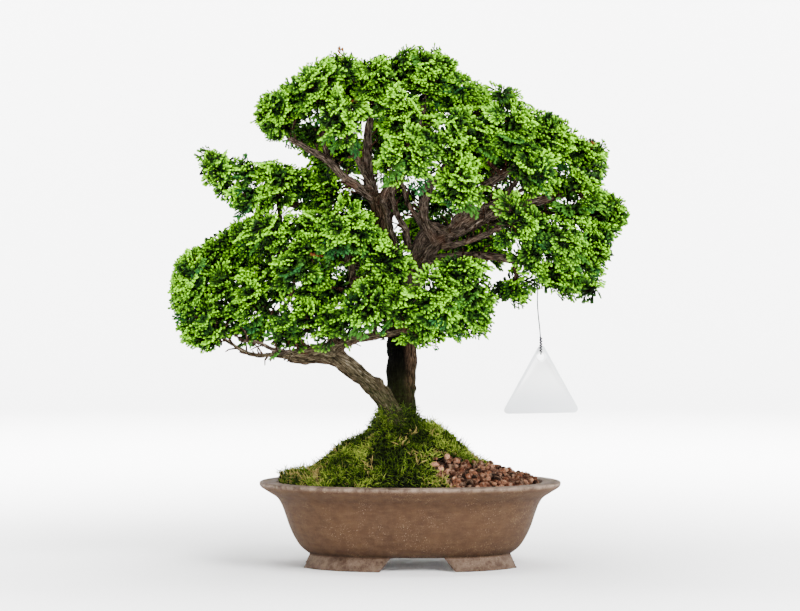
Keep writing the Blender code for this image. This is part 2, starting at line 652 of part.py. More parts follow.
def make_pad(centre, half, seed, pads, obstacles, workshop):
    """Small core with lobed fans that stand out of faces that share no edge."""
    rng = random.Random(seed)
    centre = Vector(centre)
    planes = cell_planes(centre, half, pads)
    bm = bmesh.new()
    turn = Matrix.Rotation(rng.uniform(0, TURN), 3, "Z") @ Matrix.Rotation(rng.uniform(-0.5, 0.5), 3, "X")
    bmesh.ops.create_icosphere(bm, subdivisions=1, radius=CORE)
    for vert in bm.verts:
        vert.co = turn @ vert.co * rng.uniform(*CORE_ROUGHNESS)
    faces = sorted(bm.faces, key=lambda face: abs(face.calc_center_median().z - 0.12) + rng.uniform(0, 0.2))
    chosen = []
    for face in faces:
        beside = {other for edge in face.edges for other in edge.link_faces}
        if len(chosen) < FANS and not beside & set(chosen):
            chosen.append(face)
    for face in chosen:
        grow_fan(bm, face, centre, half, planes, rng)
    for vert in bm.verts:
        vert.co = Vector([centre[k] + vert.co[k] * half[k] for k in range(3)]) * MM
    bmesh.ops.triangulate(bm, faces=bm.faces)
    crossing = any((vert.co / MM - place).dot(ahead) > 0 for place, ahead in planes for vert in bm.verts)
    pad = new_object("pad", bm, workshop)
    if crossing:
        combine(pad, "INTERSECT", [make_cell(centre, planes, workshop)])
    return combine(pad, "DIFFERENCE", obstacles, keep=True)


def curve_solid(name, points, flat, size, workshop):
    """Solid of a curve: a flat closed outline extruded both ways by size, or a round wire of that radius."""
    curve = bpy.data.curves.new(name, "CURVE")
    curve.dimensions = "2D" if flat else "3D"
    if flat:
        curve.fill_mode = "BOTH"
        curve.extrude = size * MM
    else:
        curve.bevel_depth = size * MM
        curve.bevel_resolution = 2
        curve.use_fill_caps = True
    spline = curve.splines.new("POLY")
    spline.points.add(len(points) - 1)
    for knot, point in zip(spline.points, points):
        knot.co = (*(Vector(point) * MM), 1)
    spline.use_cyclic_u = flat
    obj = bpy.data.objects.new(name, curve)
    workshop.objects.link(obj)
    graph = bpy.context.evaluated_depsgraph_get()
    graph.update()
    bm = bmesh.new()
    bm.from_mesh(bpy.data.meshes.new_from_object(obj.evaluated_get(graph)))
    bmesh.ops.remove_doubles(bm, verts=bm.verts, dist=0.01 * MM)
    bmesh.ops.triangulate(bm, faces=bm.faces)
    bpy.data.objects.remove(obj)
    bpy.data.curves.remove(curve)
    return new_object(name, bm, workshop)


def rounded_outline(corners, radius, steps):
    """Closed outline whose corners are arcs, as (x, y, 0)."""
    outline = []
    for i, corner in enumerate(corners):
        before = (corners[i - 1] - corner).normalized()
        after = (corners[(i + 1) % len(corners)] - corner).normalized()
        half = before.angle(after) / 2
        inward = (before + after).normalized()
        centre = corner + inward * radius / math.sin(half)
        first = math.atan2(-inward.y, -inward.x) - (math.pi / 2 - half)
        for k in range(steps + 1):
            angle = first + k / steps * (math.pi - 2 * half)
            outline.append((centre.x + radius * math.cos(angle), centre.y + radius * math.sin(angle), 0))
    return outline


def make_tag(workshop):
    corners = [Vector(corner) for corner in TAG_CORNERS]
    outline = rounded_outline(corners, TAG_ROUND, TAG_ROUND_STEPS)
    plate = curve_solid("plate", outline, True, TAG_THICK / 2, workshop)
    upright_turn = Matrix.Rotation(math.pi / 2, 4, "X")
    plate.data.transform(Matrix.Translation((0, TAG_Y * MM, 0)) @ upright_turn)
    place = Matrix.Translation(Vector((TAG_HOLE[0], TAG_Y, TAG_HOLE[1])) * MM) @ upright_turn
    discs = []
    for radius, thick in (EYELET, (TAG_HOLE_RADIUS, 3 * EYELET[1])):
        bm = bmesh.new()
        bmesh.ops.create_cone(bm, cap_ends=True, segments=TAG_HOLE_SIDES, radius1=radius * MM,
                              radius2=radius * MM, depth=thick * MM, matrix=place)
        discs.append(new_object("disc", bm, workshop))
    combine(plate, "UNION", discs[:1])
    return combine(plate, "DIFFERENCE", discs[1:])


def main():
    clear_scene()
    bonsai = new_collection("hinoki_bonsai", True)
    workshop = new_collection("cutters", False)
    wood = make_wood("wood", 0, workshop)
    clearance = make_wood("wood_clearance", WOOD_CLEARANCE, workshop)
    wire_clearance = curve_solid("wire_clearance", WIRE, False, WIRE_RADIUS + WIRE_CLEARANCE, workshop)
    finish(make_pot(workshop), "pot", "pot", bonsai)
    for side, label in ((-1, "left"), (1, "right")):
        finish(make_screen(side, workshop), "drain_screen_" + label, "drain_screen", bonsai)
    soil = combine(make_soil(workshop), "DIFFERENCE", [clearance], keep=True)
    finish(soil, "soil", "soil", bonsai)
    moss = combine(make_cover(workshop), "DIFFERENCE", [make_edge_prism(-GAP, workshop)])
    combine(moss, "DIFFERENCE", [clearance], keep=True)
    finish(moss, "moss", "moss", bonsai)
    gravel = combine(make_cover(workshop), "UNION", make_grains(workshop))
    combine(gravel, "INTERSECT", [make_edge_prism(0, workshop)])
    finish(gravel, "gravel", "gravel", bonsai)
    every = [pad for pads in PADS.values() for pad in pads]
    seed = 0
    for group, pads in PADS.items():
        for i, (centre, half) in enumerate(pads):
            seed += 1
            pad = make_pad(centre, half, seed, every, [clearance, wire_clearance], workshop)
            finish(pad, f"foliage_{group}_{i + 1}", "foliage", bonsai)
    finish(wood, "wood", "wood", bonsai)
    finish(make_tag(workshop), "tag", "tag", bonsai)
    finish(curve_solid("wire", WIRE, False, WIRE_RADIUS, workshop), "tag_wire", "tag_wire", bonsai)
    remove([clearance, wire_clearance])
    for obj in bonsai.objects:
        obj.data.transform(Matrix.Translation(Vector((*SHIFT, 0)) * MM))


main()
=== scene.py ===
import math
import random

import bmesh
import bpy
from mathutils import Matrix, Vector, noise
from mathutils.kdtree import KDTree


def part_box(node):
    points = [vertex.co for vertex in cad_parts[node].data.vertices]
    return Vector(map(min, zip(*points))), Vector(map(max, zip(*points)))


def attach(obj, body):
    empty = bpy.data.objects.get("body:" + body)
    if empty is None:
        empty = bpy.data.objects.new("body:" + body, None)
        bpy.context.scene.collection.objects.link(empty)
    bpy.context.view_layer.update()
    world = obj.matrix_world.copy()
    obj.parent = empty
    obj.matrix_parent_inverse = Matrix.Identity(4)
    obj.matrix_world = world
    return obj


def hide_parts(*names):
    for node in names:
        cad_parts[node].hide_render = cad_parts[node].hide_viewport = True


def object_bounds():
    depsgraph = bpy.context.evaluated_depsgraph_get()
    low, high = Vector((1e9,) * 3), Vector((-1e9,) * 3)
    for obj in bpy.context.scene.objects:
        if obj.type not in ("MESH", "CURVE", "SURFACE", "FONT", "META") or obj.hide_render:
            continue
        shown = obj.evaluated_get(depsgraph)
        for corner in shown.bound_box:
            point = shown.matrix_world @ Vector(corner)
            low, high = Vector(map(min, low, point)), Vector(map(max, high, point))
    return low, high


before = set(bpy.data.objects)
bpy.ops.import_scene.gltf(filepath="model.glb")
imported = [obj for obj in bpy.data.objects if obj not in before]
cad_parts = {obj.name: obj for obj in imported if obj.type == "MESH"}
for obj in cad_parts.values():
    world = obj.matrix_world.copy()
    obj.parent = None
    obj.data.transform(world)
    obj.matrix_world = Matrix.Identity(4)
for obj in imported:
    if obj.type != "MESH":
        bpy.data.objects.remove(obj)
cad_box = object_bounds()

# Camera. It stands 2.2 m in front of the tree, level with the middle of the whole object, and takes in the
# tree, the pot and a margin of white around them.
def add_object(name, data):
    """A new object in the scene."""
    made = bpy.data.objects.new(name, data)
    bpy.context.scene.collection.objects.link(made)
    return made


camera = add_object("camera", bpy.data.cameras.new("camera"))
camera.data.sensor_width = 36
camera.data.lens = 104.2
camera.data.clip_end = 30
camera.location = (-0.0015, -2.1982, 0.2467)
camera.rotation_euler = (math.pi / 2, 0, 0)
bpy.context.scene.camera = camera


# Pot. An oval tray of unglazed stoneware, pressed in a mould, with a rolled lip, sides that swell and then
# close in to the floor, and four feet left standing between channels cut through the foot ring. The clay is
# brown with paler grit, greyer on the lip and the feet, where hands and water have worn it. The top of the lip
# also carries a painted highlight, and painted shade lies under the lip and in the crease above the feet.
class Paint:
    """A number, colour or direction on its way to a material's shader: one output socket of a node."""

    def __init__(self, tree, socket=None):
        self.tree = tree
        self.socket = socket

    def node(self, kind, settings, sockets, output=0):
        """Adds a node of a kind, sets it up, fills or links its sockets, and gives one of its outputs."""
        made = self.tree.nodes.new("ShaderNode" + kind)
        for name, value in settings.items():
            if name == "stops":
                ramp = made.color_ramp
                while len(ramp.elements) < len(value):
                    ramp.elements.new(0.5)
                for element, (place, colour) in zip(ramp.elements, value):
                    element.position = place
                    element.color = colour
            else:
                setattr(made, name, value)
        for key, value in sockets.items():
            if isinstance(value, Paint):
                self.tree.links.new(value.socket, made.inputs[key])
            else:
                made.inputs[key].default_value = value
        return Paint(self.tree, made.outputs[output])

    def math(self, operation, first, second):
        return self.node("Math", {"operation": operation}, {0: first, 1: second})

    def __add__(self, other):
        return self.math("ADD", self, other)

    def __sub__(self, other):
        return self.math("SUBTRACT", self, other)

    def __rsub__(self, other):
        return self.math("SUBTRACT", other, self)

    def __mul__(self, other):
        return self.math("MULTIPLY", self, other)

    __radd__ = __add__
    __rmul__ = __mul__

    def between(self, low, high):
        """0 below low, 1 above high, and smooth between them."""
        return self.node("MapRange", {"interpolation_type": "SMOOTHSTEP"}, {0: self, 1: low, 2: high})

    def mix(self, under, over):
        """The colour under where this is 0, and over where it is 1."""
        under, over = (part if isinstance(part, Paint) else srgb(*part) for part in (under, over))
        return self.node("Mix", {"data_type": "RGBA"}, {0: self, 6: under, 7: over}, 2)

    def stretch(self, factors):
        """Direction or place, with each of its three numbers multiplied."""
        return self.node("VectorMath", {"operation": "MULTIPLY"}, {0: self, 1: factors})

    def clouds(self, scale, detail=3.0, roughness=0.5, distortion=0.0):
        """Soft noise at this place, from 0 to 1."""
        return self.node("TexNoise", {}, {"Vector": self, "Scale": scale, "Detail": detail,
                                          "Roughness": roughness, "Distortion": distortion})

    def height(self):
        """The upright part of a place."""
        return self.node("SeparateXYZ", {}, {0: self}, 2)

    def stored(self, name, output=2):
        """A value that the mesh carries under a name."""
        return self.node("Attribute", {"attribute_name": name}, {}, output)

    def ramp(self, *stops):
        """The colour at this place on a ramp, whose stops are each a place, a red, a green and a blue."""
        return self.node("ValToRGB", {"stops": [(at, srgb(*colour)) for at, *colour in stops]}, {0: self})


def srgb(red, green, blue):
    """Colour as it is picked by eye, 0 to 255, turned into the shader's own numbers."""
    return tuple((value / 255 / 12.92) if value < 10.3 else ((value / 255 + 0.055) / 1.055) ** 2.4
                 for value in (red, green, blue)) + (1.0,)


def new_material(name, shine=0.5):
    """A material, its shader, and the place on the piece that its patterns read."""
    material = bpy.data.materials.new(name)
    material.use_nodes = True
    shader = material.node_tree.nodes["Principled BSDF"]
    shader.inputs["Specular IOR Level"].default_value = shine
    place = Paint(material.node_tree).node("TexCoord", {}, {}, "Object")
    return material, shader, place


def lay_on(shader, colour, roughness, relief, depth):
    """Leads colour and roughness to the shader, with a relief from 0 to 1 that is depth metres deep."""
    bump = relief.node("Bump", {}, {"Strength": 1.0, "Distance": depth, "Height": relief})
    for paint, name in ((colour, "Base Color"), (roughness, "Roughness"), (bump, "Normal")):
        paint.tree.links.new(paint.socket, shader.inputs[name])


# From millimetres, with the upright trunk at the origin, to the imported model's frame.
TO_FRAME = Matrix.Translation((-0.0015, 0.0018, 0)) @ Matrix.Scale(0.001, 4)


def face_out(bm):
    """Turns every face of a mesh outwards."""
    bmesh.ops.recalc_face_normals(bm, faces=bm.faces)


def as_mesh(name, bm):
    """The finished mesh of one that was being built."""
    mesh = bpy.data.meshes.new(name)
    bm.to_mesh(mesh)
    bm.free()
    return mesh


def add_to(bm, source):
    """Adds a finished part to a mesh that is being built."""
    mesh = as_mesh("part", source)
    bm.from_mesh(mesh)
    bpy.data.meshes.remove(mesh)


def set_down(name, bm, material, slot, *nodes):
    """Makes a piece of a mesh in mm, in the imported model's frame and in place of some of its nodes."""
    bm.transform(TO_FRAME)
    mesh = as_mesh(name, bm)
    mesh.shade_smooth()
    mesh.materials.append(material)
    piece = add_object(name, mesh)
    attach(piece, "root")
    if nodes:
        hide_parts(*nodes)
    return piece


def smooth_path(points, steps):
    """A rounded line through the given points, with so many steps in each stretch."""
    knots = [Vector(point) for point in points]
    path = []
    for i in range(len(knots) - 1):
        before, start, end, after = (knots[max(0, min(len(knots) - 1, i + k))] for k in (-1, 0, 1, 2))
        for k in range(steps):
            t = k / steps
            bend, twist = 2 * before - 5 * start + 4 * end - after, 3 * start - before - 3 * end + after
            path.append(0.5 * (2 * start + (end - before) * t + bend * t * t + twist * t ** 3))
    return path + [knots[-1]]


# The pot's middle across, how much shorter it is from its middle to the front than to the side, how square its
# corners are, and its profile as (half length, height).
POT_X = 9.6
POT_OVAL = 40
POT_CORNER = 0.89
POT_SIDES = 144
POT_OUTSIDE = [(96, 12.5), (104, 19), (110.5, 29), (115, 39), (118.2, 48.5), (121.4, 57.5), (126, 65)]
POT_LIP = [(134, 70.5), (141, 75), (142.8, 78), (141, 80.3), (127.5, 80.3), (125, 78.5)]
POT_INSIDE = [(120, 68), (115.5, 58), (110, 46), (104.5, 33), (98.5, 25), (90, 20)]


def add_oval(bm, half, z, capped=False):
    """The edges of one level ring of the pot, of that half length and a little squarer than an ellipse."""
    ring = bmesh.ops.create_circle(bm, cap_ends=capped, segments=POT_SIDES, radius=1)["verts"]
    for vert in ring:
        x, y = (math.copysign(abs(part) ** POT_CORNER, part) for part in vert.co.xy)
        vert.co = (POT_X + half * x, (half - POT_OVAL) * y, z)
    return list({edge for vert in ring for edge in vert.link_edges})


def stack_ovals(bm, profile, closed=False):
    """Skins rings of the pot from the first to the last, capping both, or round to the first again."""
    ends = (0, len(profile) - 1)
    rings = [add_oval(bm, *level, capped=not closed and i in ends) for i, level in enumerate(profile)]
    for lower, upper in zip(rings, rings[1:] + (rings[:1] if closed else [])):
        bmesh.ops.bridge_loops(bm, edges=lower + upper)


def worked_out(piece):
    """A mesh to build on, as the modifiers of an object leave it."""
    graph = bpy.context.evaluated_depsgraph_get()
    graph.update()
    bm = bmesh.new()
    bm.from_mesh(bpy.data.meshes.new_from_object(piece.evaluated_get(graph)))
    return bm


def drill(bm, cutters):
    """Cuts the cutters' holes through a solid and gives it back."""
    solids = [add_object("solid", as_mesh("solid", source)) for source in (bm, cutters)]
    cut = solids[0].modifiers.new("holes", "BOOLEAN")
    cut.operation, cut.solver, cut.object = "DIFFERENCE", "EXACT", solids[1]
    drilled = worked_out(solids[0])
    for solid in solids:
        bpy.data.objects.remove(solid)
    return drilled


pot = bmesh.new()
lip = smooth_path(POT_OUTSIDE[-2:] + POT_LIP + POT_INSIDE[:2], 5)
stack_ovals(pot, smooth_path(POT_OUTSIDE[:-1], 4)[:-1] + lip + smooth_path(POT_INSIDE[1:], 4)[1:])
face_out(pot)
DRAIN_OUT, DRAIN_RADIUS = 46, 8
drains = bmesh.new()
for side in (-1, 1):
    bmesh.ops.create_cone(drains, cap_ends=True, segments=32, radius1=DRAIN_RADIUS, radius2=DRAIN_RADIUS,
                          depth=24, matrix=Matrix.Translation((POT_X + side * DRAIN_OUT, 0, 16)))
pot = drill(pot, drains)

# Each foot is what two slanting planes, as (a point, the slant), leave of a corner of the foot ring.
FOOT_RING = [(104.5, 0), (97, 14), (70, 14), (70, 0)]
foot_ring = bmesh.new()
stack_ovals(foot_ring, FOOT_RING, closed=True)
for side_x in (-1, 1):
    for side_y in (-1, 1):
        foot = foot_ring.copy()
        for place, slant in (((POT_X + 6.5 + side_x * 29.8, 0, 6.5), (side_x * 13, 0, 10.5)),
                             ((POT_X, side_y * 19, 6.5), (0, side_y * 13, 6))):
            whole = foot.verts[:] + foot.edges[:] + foot.faces[:]
            cut = bmesh.ops.bisect_plane(foot, geom=whole, clear_inner=True, plane_co=place, plane_no=slant)
            open_edges = [item for item in cut["geom_cut"] if isinstance(item, bmesh.types.BMEdge)]
            bmesh.ops.holes_fill(foot, edges=open_edges)
        face_out(foot)
        sharp = [edge for edge in foot.edges if edge.calc_face_angle(0) > 0.6]
        bmesh.ops.bevel(foot, geom=sharp, offset=1.6, affect="EDGES", segments=3, profile=0.5, material=-1)
        add_to(pot, foot)
foot_ring.free()

stoneware, shader, place = new_material("stoneware", 0.15)
height = place.height()
mottle = place.clouds(26, 4, 0.65).between(0.35, 0.7)
drag = place.stretch((1, 1, 5)).clouds(60, 4, 0.65).between(0.4, 0.7)
grain = place.clouds(1500, 2, 0.6)
grit = place.clouds(1000, 1, 0.5).between(0.64, 0.72) * place.clouds(35, 2, 0.6).between(0.4, 0.65)
clay = mottle.mix((48, 30, 17), (62, 43, 28))
clay = (drag * 0.45).mix(clay, (72, 54, 34))
clay = ((1 - height.between(0.012, 0.03)) * 0.5).mix(clay, (40, 22, 12))
# Painted shade under the rolled lip.
painted_shade_under_lip = height.between(0.056, 0.066) * (1 - height.between(0.067, 0.071))
clay = (painted_shade_under_lip * 0.6).mix(clay, (44, 27, 16))
chips = place.clouds(140, 4, 0.7).between(0.35, 0.65)
# Painted shade in the crease where the bowl meets the feet.
painted_crease_shade = height.between(0.0122, 0.0134) * (1 - height.between(0.0142, 0.0165))
clay = (painted_crease_shade * 0.7).mix(clay, (26, 16, 9))
# A lighter band along the top of the lip, partly wear and partly a painted highlight, and greyer, worn feet.
wear_and_lip_highlight = height.between(0.0755, 0.0795) + (1 - height.between(0.0115, 0.0128)) * 0.45
clay = (wear_and_lip_highlight * 0.85).mix(clay, (chips * 0.6 + mottle * 0.4).mix((40, 28, 18), (146, 128, 114)))
clay = (chips * 0.25).mix(clay, (84, 63, 42))
clay = (grain.between(0.3, 0.7) * 0.4).mix(clay, (40, 26, 16))
clay = (grit * 0.35).mix(clay, (150, 128, 102))
lay_on(shader, clay, 0.76 + mottle * 0.14, grain * 0.6 + drag * 0.4, 0.00025)
set_down("stoneware_pot", pot, stoneware, "pot", "pot")


# Drain screens and soil. Black moulded plastic mesh lies over each drain hole, and the dark, crumbly potting
# soil fills the pot under the moss and the gravel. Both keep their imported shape.
plastic, shader, place = new_material("screen_plastic", 0.4)
scuffs = place.clouds(300, 3, 0.6)
black = scuffs.between(0.5, 0.8).mix((30, 30, 31), (52, 51, 49))
lay_on(shader, black, 0.5 + scuffs * 0.25, scuffs, 0.0001)
earth, shader, place = new_material("potting_soil", 0.2)
crumbs = place.clouds(350, 4, 0.65)
clods = place.clouds(90, 3, 0.6)
lay_on(shader, (crumbs * 0.6 + clods * 0.5).between(0.35, 0.75).mix((38, 28, 21), (88, 66, 48)),
       0.85 + crumbs * 0.1, crumbs + clods, 0.0012)
for node, material in (("drain_screen_left", plastic), ("drain_screen_right", plastic), ("soil", earth)):
    for material_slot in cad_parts[node].material_slots:
        material_slot.material = material


# Gravel. Round, porous lumps of fired red-brown clay, 4 to 9 mm across, poured over the soil on the right of
# the tree and banked up against the edge of the moss. MOUND is the ridge of the planted ground as (x,
# height), and GRAVEL_FROM the edge of the moss as (y, x).
MOUND = [(-116, 87), (-95, 90), (-84, 92), (-68, 104), (-57, 113.5), (-46, 120), (-32, 125), (-20, 146),
         (2, 150), (16, 140), (29, 136), (45, 124.5), (62, 109.5), (76, 99), (96, 90.5), (136, 78)]
MOUND_EDGE = 78
MOUND_HALF = (124.5, 84.5)
GRAVEL_FROM = [(-110, 46), (-80, 45), (-72, 38), (-62, 28), (-54, 30), (-46, 44), (-36, 60), (-22, 74),
               (0, 82), (30, 84), (62, 72), (110, 52)]


def read_off(line, place):
    """Height of a line of (place, height) points at a place."""
    place = max(line[0][0], min(line[-1][0], place))
    for (a, start), (b, end) in zip(line, line[1:]):
        if place <= b:
            return start + (end - start) * (place - a) / (b - a)
    return line[-1][1]


def in_pot(x, y, margin):
    """Whether a spot lies inside the lip, that far from it."""
    long, short = MOUND_HALF[0] - margin, MOUND_HALF[1] - margin
    return abs((x - POT_X) / long) ** 2.25 + abs(y / short) ** 2.25 < 1


def ground(x, y):
    """Height of the planted surface."""
    ridge = read_off(MOUND, x)
    reach = MOUND_HALF[1] * math.sqrt(max(0.05, 1 - (abs(x - POT_X) / MOUND_HALF[0]) ** 2))
    fall = max(0.0, 1 - (abs(y) / reach) ** 1.5)
    return MOUND_EDGE + (ridge - MOUND_EDGE) * fall


def past_edge(x, y):
    """How far right of the edge of the moss a spot lies."""
    return x - read_off(GRAVEL_FROM, y) + 3 * noise.noise((x * 0.07, y * 0.07, 4.0))


def hummocks(x, y):
    """Small ups and downs of the ground, about -1 to 1."""
    return noise.noise((x * 0.06, y * 0.06, 0)) + 0.6 * noise.noise((x * 0.17, y * 0.17, 3))


def bed(keep, step, lumps, deep):
    """A sheet of ground over the spots that keep() accepts, given some thickness."""
    bm = bmesh.new()
    bmesh.ops.create_grid(bm, x_segments=int(260 / step), y_segments=int(176 / step), size=1)
    for vert in bm.verts:
        x, y = POT_X + vert.co.x * 130, vert.co.y * 88
        vert.co = (x, y, ground(x, y) + hummocks(x, y) * lumps - deep)
    lost = [face for face in bm.faces if not keep(*face.calc_center_median().xy)]
    bmesh.ops.delete(bm, geom=lost, context="FACES")
    face_out(bm)
    bmesh.ops.solidify(bm, geom=bm.faces[:], thickness=3.5)
    face_out(bm)
    return bm


# Layers of grains from the lowest up, as (lift, least distance, tries, smallest and largest radius).
LAYERS = [(-3.4, 5.2, 9000, 2.6, 4.2), (-0.2, 5.8, 6000, 2.4, 4.6), (2.4, 7, 1600, 1.8, 3.2)]
rng = random.Random(12)
gravel = bed(lambda x, y: in_pot(x, y, 1) and past_edge(x, y) > -6, 4, 0.8, 5.5)
gravel.verts.layers.float.new("shade")
for lift, apart, tries, small, large in LAYERS:
    laid = []
    for _ in range(tries):
        x, y = rng.uniform(26, 134), rng.uniform(-82, 82)
        if not in_pot(x, y, 4.5 + lift * 0.4) or past_edge(x, y) < 1.5 + lift * 0.3:
            continue
        if any((x - a) ** 2 + (y - b) ** 2 < apart ** 2 for a, b in laid):
            continue
        laid.append((x, y))
        bm = bmesh.new()
        tone = bm.verts.layers.float.new("shade")
        bmesh.ops.create_icosphere(bm, subdivisions=2, radius=1)
        colour, seed = rng.random(), rng.uniform(0, 99)
        for vert in bm.verts:
            vert.co *= 1 + 0.42 * noise.noise(vert.co * 1.6 + Vector((seed, 0, 0)))
            vert[tone] = colour
        radius = rng.uniform(small, large)
        turn = Matrix.Rotation(rng.uniform(0, 6.28), 4, "Z") @ Matrix.Rotation(rng.uniform(0, 6.28), 4, "X")
        squash = Matrix.Diagonal((radius, radius * rng.uniform(0.7, 1), radius * rng.uniform(0.6, 0.95), 1))
        bm.transform(Matrix.Translation((x, y, ground(x, y) + lift + rng.uniform(-0.9, 0.9))) @ turn @ squash)
        add_to(gravel, bm)

clay_grain, shader, place = new_material("red_clay_gravel", 0.05)
tone = place.stored("shade")
pores = place.clouds(700, 4, 0.7)
dust = place.clouds(300, 3, 0.6).between(0.45, 0.7)
stone = tone.ramp((0, 14, 6, 3), (0.3, 34, 17, 9), (0.7, 82, 46, 29), (1, 158, 114, 88))
stone = ((1 - pores.between(0.38, 0.52)) * 0.85).mix(stone, (20, 8, 5))
stone = (dust * 0.35).mix(stone, (172, 138, 114))
lay_on(shader, stone, 0.85 + dust * 0.1, pores + dust * 0.3, 0.0014)
set_down("clay_gravel", gravel, clay_grain, "gravel", "gravel")


# Wood. Two trunks rise from one root flare, the taller upright and the other leaning out to the left, and
# their limbs carry the crown. The bark is dry, reddish and stringy, in strips along each limb, almost black low
# on the upright trunk and up its left side, darker on the underside of the leaning trunk as painted shade, and
# green near the moss. Each path is points of (x, y, z, radius).
STUMP = [(0, 0, 52, 20), (-1, -1, 80, 26), (0, -3, 104, 23), (1, 0, 130, 18)]
ROOTS = [(-60, -20, 62), (-30, -56, 60), (44, -44, 60), (60, 26, 62), (-20, 54, 62)]
LIMBS = {
    "main": [(2, 6, 104, 18), (1, 6, 133, 15), (0.5, 6, 157, 13.8), (1, 6, 185, 13.6), (1.5, 6, 214, 13.4),
        (1, 6, 247, 12.3), (-4, 6, 279, 10.9), (-11, 4, 304, 9.5), (-17, 2, 328, 8.5), (-22, 0, 349, 7.5)],
    "front": [(0, -12, 112, 13), (-3, -18, 132, 11.5), (-9, -23, 148.5, 9.4), (-17, -26, 161, 8.6),
        (-28.5, -29, 173.5, 8.2), (-43, -32, 185.5, 8.2), (-58, -34, 197, 8.8), (-73, -36, 202, 8.8),
        (-89, -38, 200, 8), (-103, -40, 200, 6)],
    "front_low": [(-100, -40, 199, 3.8), (-119, -40, 201, 2.6), (-133, -38, 200, 2.4),
        (-146, -36, 204, 2.2), (-159, -34, 212, 2), (-172, -30, 220, 1.8)],
    "front_up": [(-65, -35, 203, 6.6), (-62, -34, 216, 5.2), (-52, -32, 235, 4.3), (-47, -30, 257, 3.8),
        (-45, -30, 278, 3.3), (-51, -32, 299, 2.7)],
    "front_right": [(-62, -36, 205, 5.7), (-47, -44, 214, 4.4), (-28, -52, 218, 3.8), (-7, -58, 221, 3.2),
        (11, -60, 224, 2.7)],
    "front_left": [(-82, -38, 200, 5.7), (-95, -34, 212, 4.2), (-109, -26, 226, 3.8), (-124, -18, 241, 3.2),
        (-142, -14, 252, 2.8), (-161, -12, 261, 2.3)],
    "left_high": [(-13, 4, 309, 6.6), (-38, 12, 321, 4.8), (-62, 18, 333, 4.2), (-91, 16, 341, 3.6),
        (-119, 8, 347, 3), (-147, 0, 358, 2.5)],
    "crown_left": [(-21, 0, 344, 5.8), (-36, -4, 356, 4.5), (-52, -8, 367, 4.1), (-68, -10, 384, 3.8),
        (-87, -8, 395, 3.3), (-106, -4, 406, 2.7)],
    "crown_up": [(-21, 0, 342, 6.2), (-28, 0, 361, 5.4), (-31, 2, 385, 4.7), (-31, 4, 409, 4.1),
        (-27, 4, 431, 3.5), (-23, 0, 447, 2.8)],
    "crown_right": [(-19, 0, 342, 5.7), (-8, -6, 361, 4.4), (4, -8, 380, 4), (12, -4, 404, 3.6),
        (21, 0, 431, 3), (25, 2, 450, 2.5)],
    "right": [(3, 8, 233, 10.4), (11, 8, 266, 9), (23, 6, 292, 7.6), (38, 4, 309, 6.4), (57, 0, 318, 5.4),
        (78, -6, 328, 4.8), (99, -10, 337, 4.4), (123, -12, 343, 4.2), (147, -10, 349, 3.6),
        (169, -6, 356, 2.8)],
    "right_up": [(44, 4, 311, 6.4), (57, 2, 330, 5.4), (68, -4, 349, 4.8), (83, -10, 362, 4.2),
        (102, -14, 373, 3.6), (123, -14, 386, 3)],
    "right_low": [(19, 6, 285, 6.6), (46, 0, 292, 4.8), (71, -8, 294, 4.2), (94, -14, 292, 3.8),
        (115, -18, 288, 3.2), (140, -20, 282, 2.4)],
    "inner_up": [(34, 4, 306, 5.7), (25, 0, 323, 4.4), (23, 0, 342, 4), (29, 4, 359, 3.4), (40, 8, 376, 3),
        (55, 10, 400, 2.5), (65, 8, 424, 2.1)],
    "back_left": [(-2, 6, 262, 6.5), (-22, 24, 276, 5), (-52, 44, 290, 4.2), (-88, 56, 298, 3.4),
        (-120, 58, 300, 2.6)],
    "back_right": [(10, 8, 272, 6.5), (28, 30, 292, 5), (62, 50, 312, 4.2), (100, 58, 330, 3.2)],
    "back_up": [(-14, 4, 318, 6), (-10, 26, 342, 5), (0, 46, 372, 4.2), (6, 54, 402, 3.4),
        (4, 52, 424, 2.6)],
}
# Thinner leaders that run beside the limbs, and the stub of a branch that was sawn off.
LEADERS = {
    "stub": [(-20, -27, 162, 6), (-19.5, -29, 174, 5), (-18, -30, 178, 3.6)],
    "leader_middle": [(7, 2, 300, 3.8), (6, -2, 316, 3.6), (0, -6, 327, 3.3), (-4, -8, 336, 3.1),
        (-7, -8, 348, 2.9), (-6, -8, 361, 2.7), (-2, -8, 376, 2.3)],
    "fork_left": [(24, 5, 319, 3.6), (17, 2, 329, 2.8), (9, 0, 341, 2.4), (4, 0, 354, 2.2),
        (2, 0, 368, 1.8)],
    "fork_up": [(24, 5, 318, 3.6), (22, 4, 334, 3), (20, 2, 350, 2.6), (26, 0, 362, 2.4),
        (30, 0, 376, 1.8)],
    "bough_upper": [(54, 0, 318, 5), (60, -2, 326, 4.4), (73, -6, 336.5, 3.8), (87, -8, 343, 3.4),
        (101, -10, 353.6, 3), (110, -10, 365, 2.6), (118, -10, 378, 2)],
    "bough_middle": [(46, -4, 312, 3.4), (68, -14, 321, 2.8), (90, -18, 338, 2.6), (106, -22, 350, 2.4),
        (122, -24, 360, 2)],
    "bough_lower": [(40, -2, 302, 3.6), (66, -10, 308, 3), (94, -16, 320, 2.8), (114, -20, 330, 2.4),
        (136, -24, 334, 2)],
    "right_arch": [(8, 8, 256, 6), (13, 6, 288, 5.4), (20, 5, 312, 5), (28, 4, 322, 4.6), (38, 4, 319, 5),
        (48, 3, 314, 5.4)],
    "crown_inner": [(-28, -4, 362, 3.6), (-40, -12, 384, 3), (-48, -18, 404, 2.6), (-52, -22, 424, 2)],
    "crown_low": [(-44, -6, 362, 3.4), (-62, -2, 378, 2.8), (-72, 4, 398, 2.4), (-74, 6, 420, 2)],
    "low_strand": [(-100, -42, 202, 3), (-118, -44, 206, 2.2), (-132, -42, 212, 2), (-150, -38, 214, 1.6)],
}


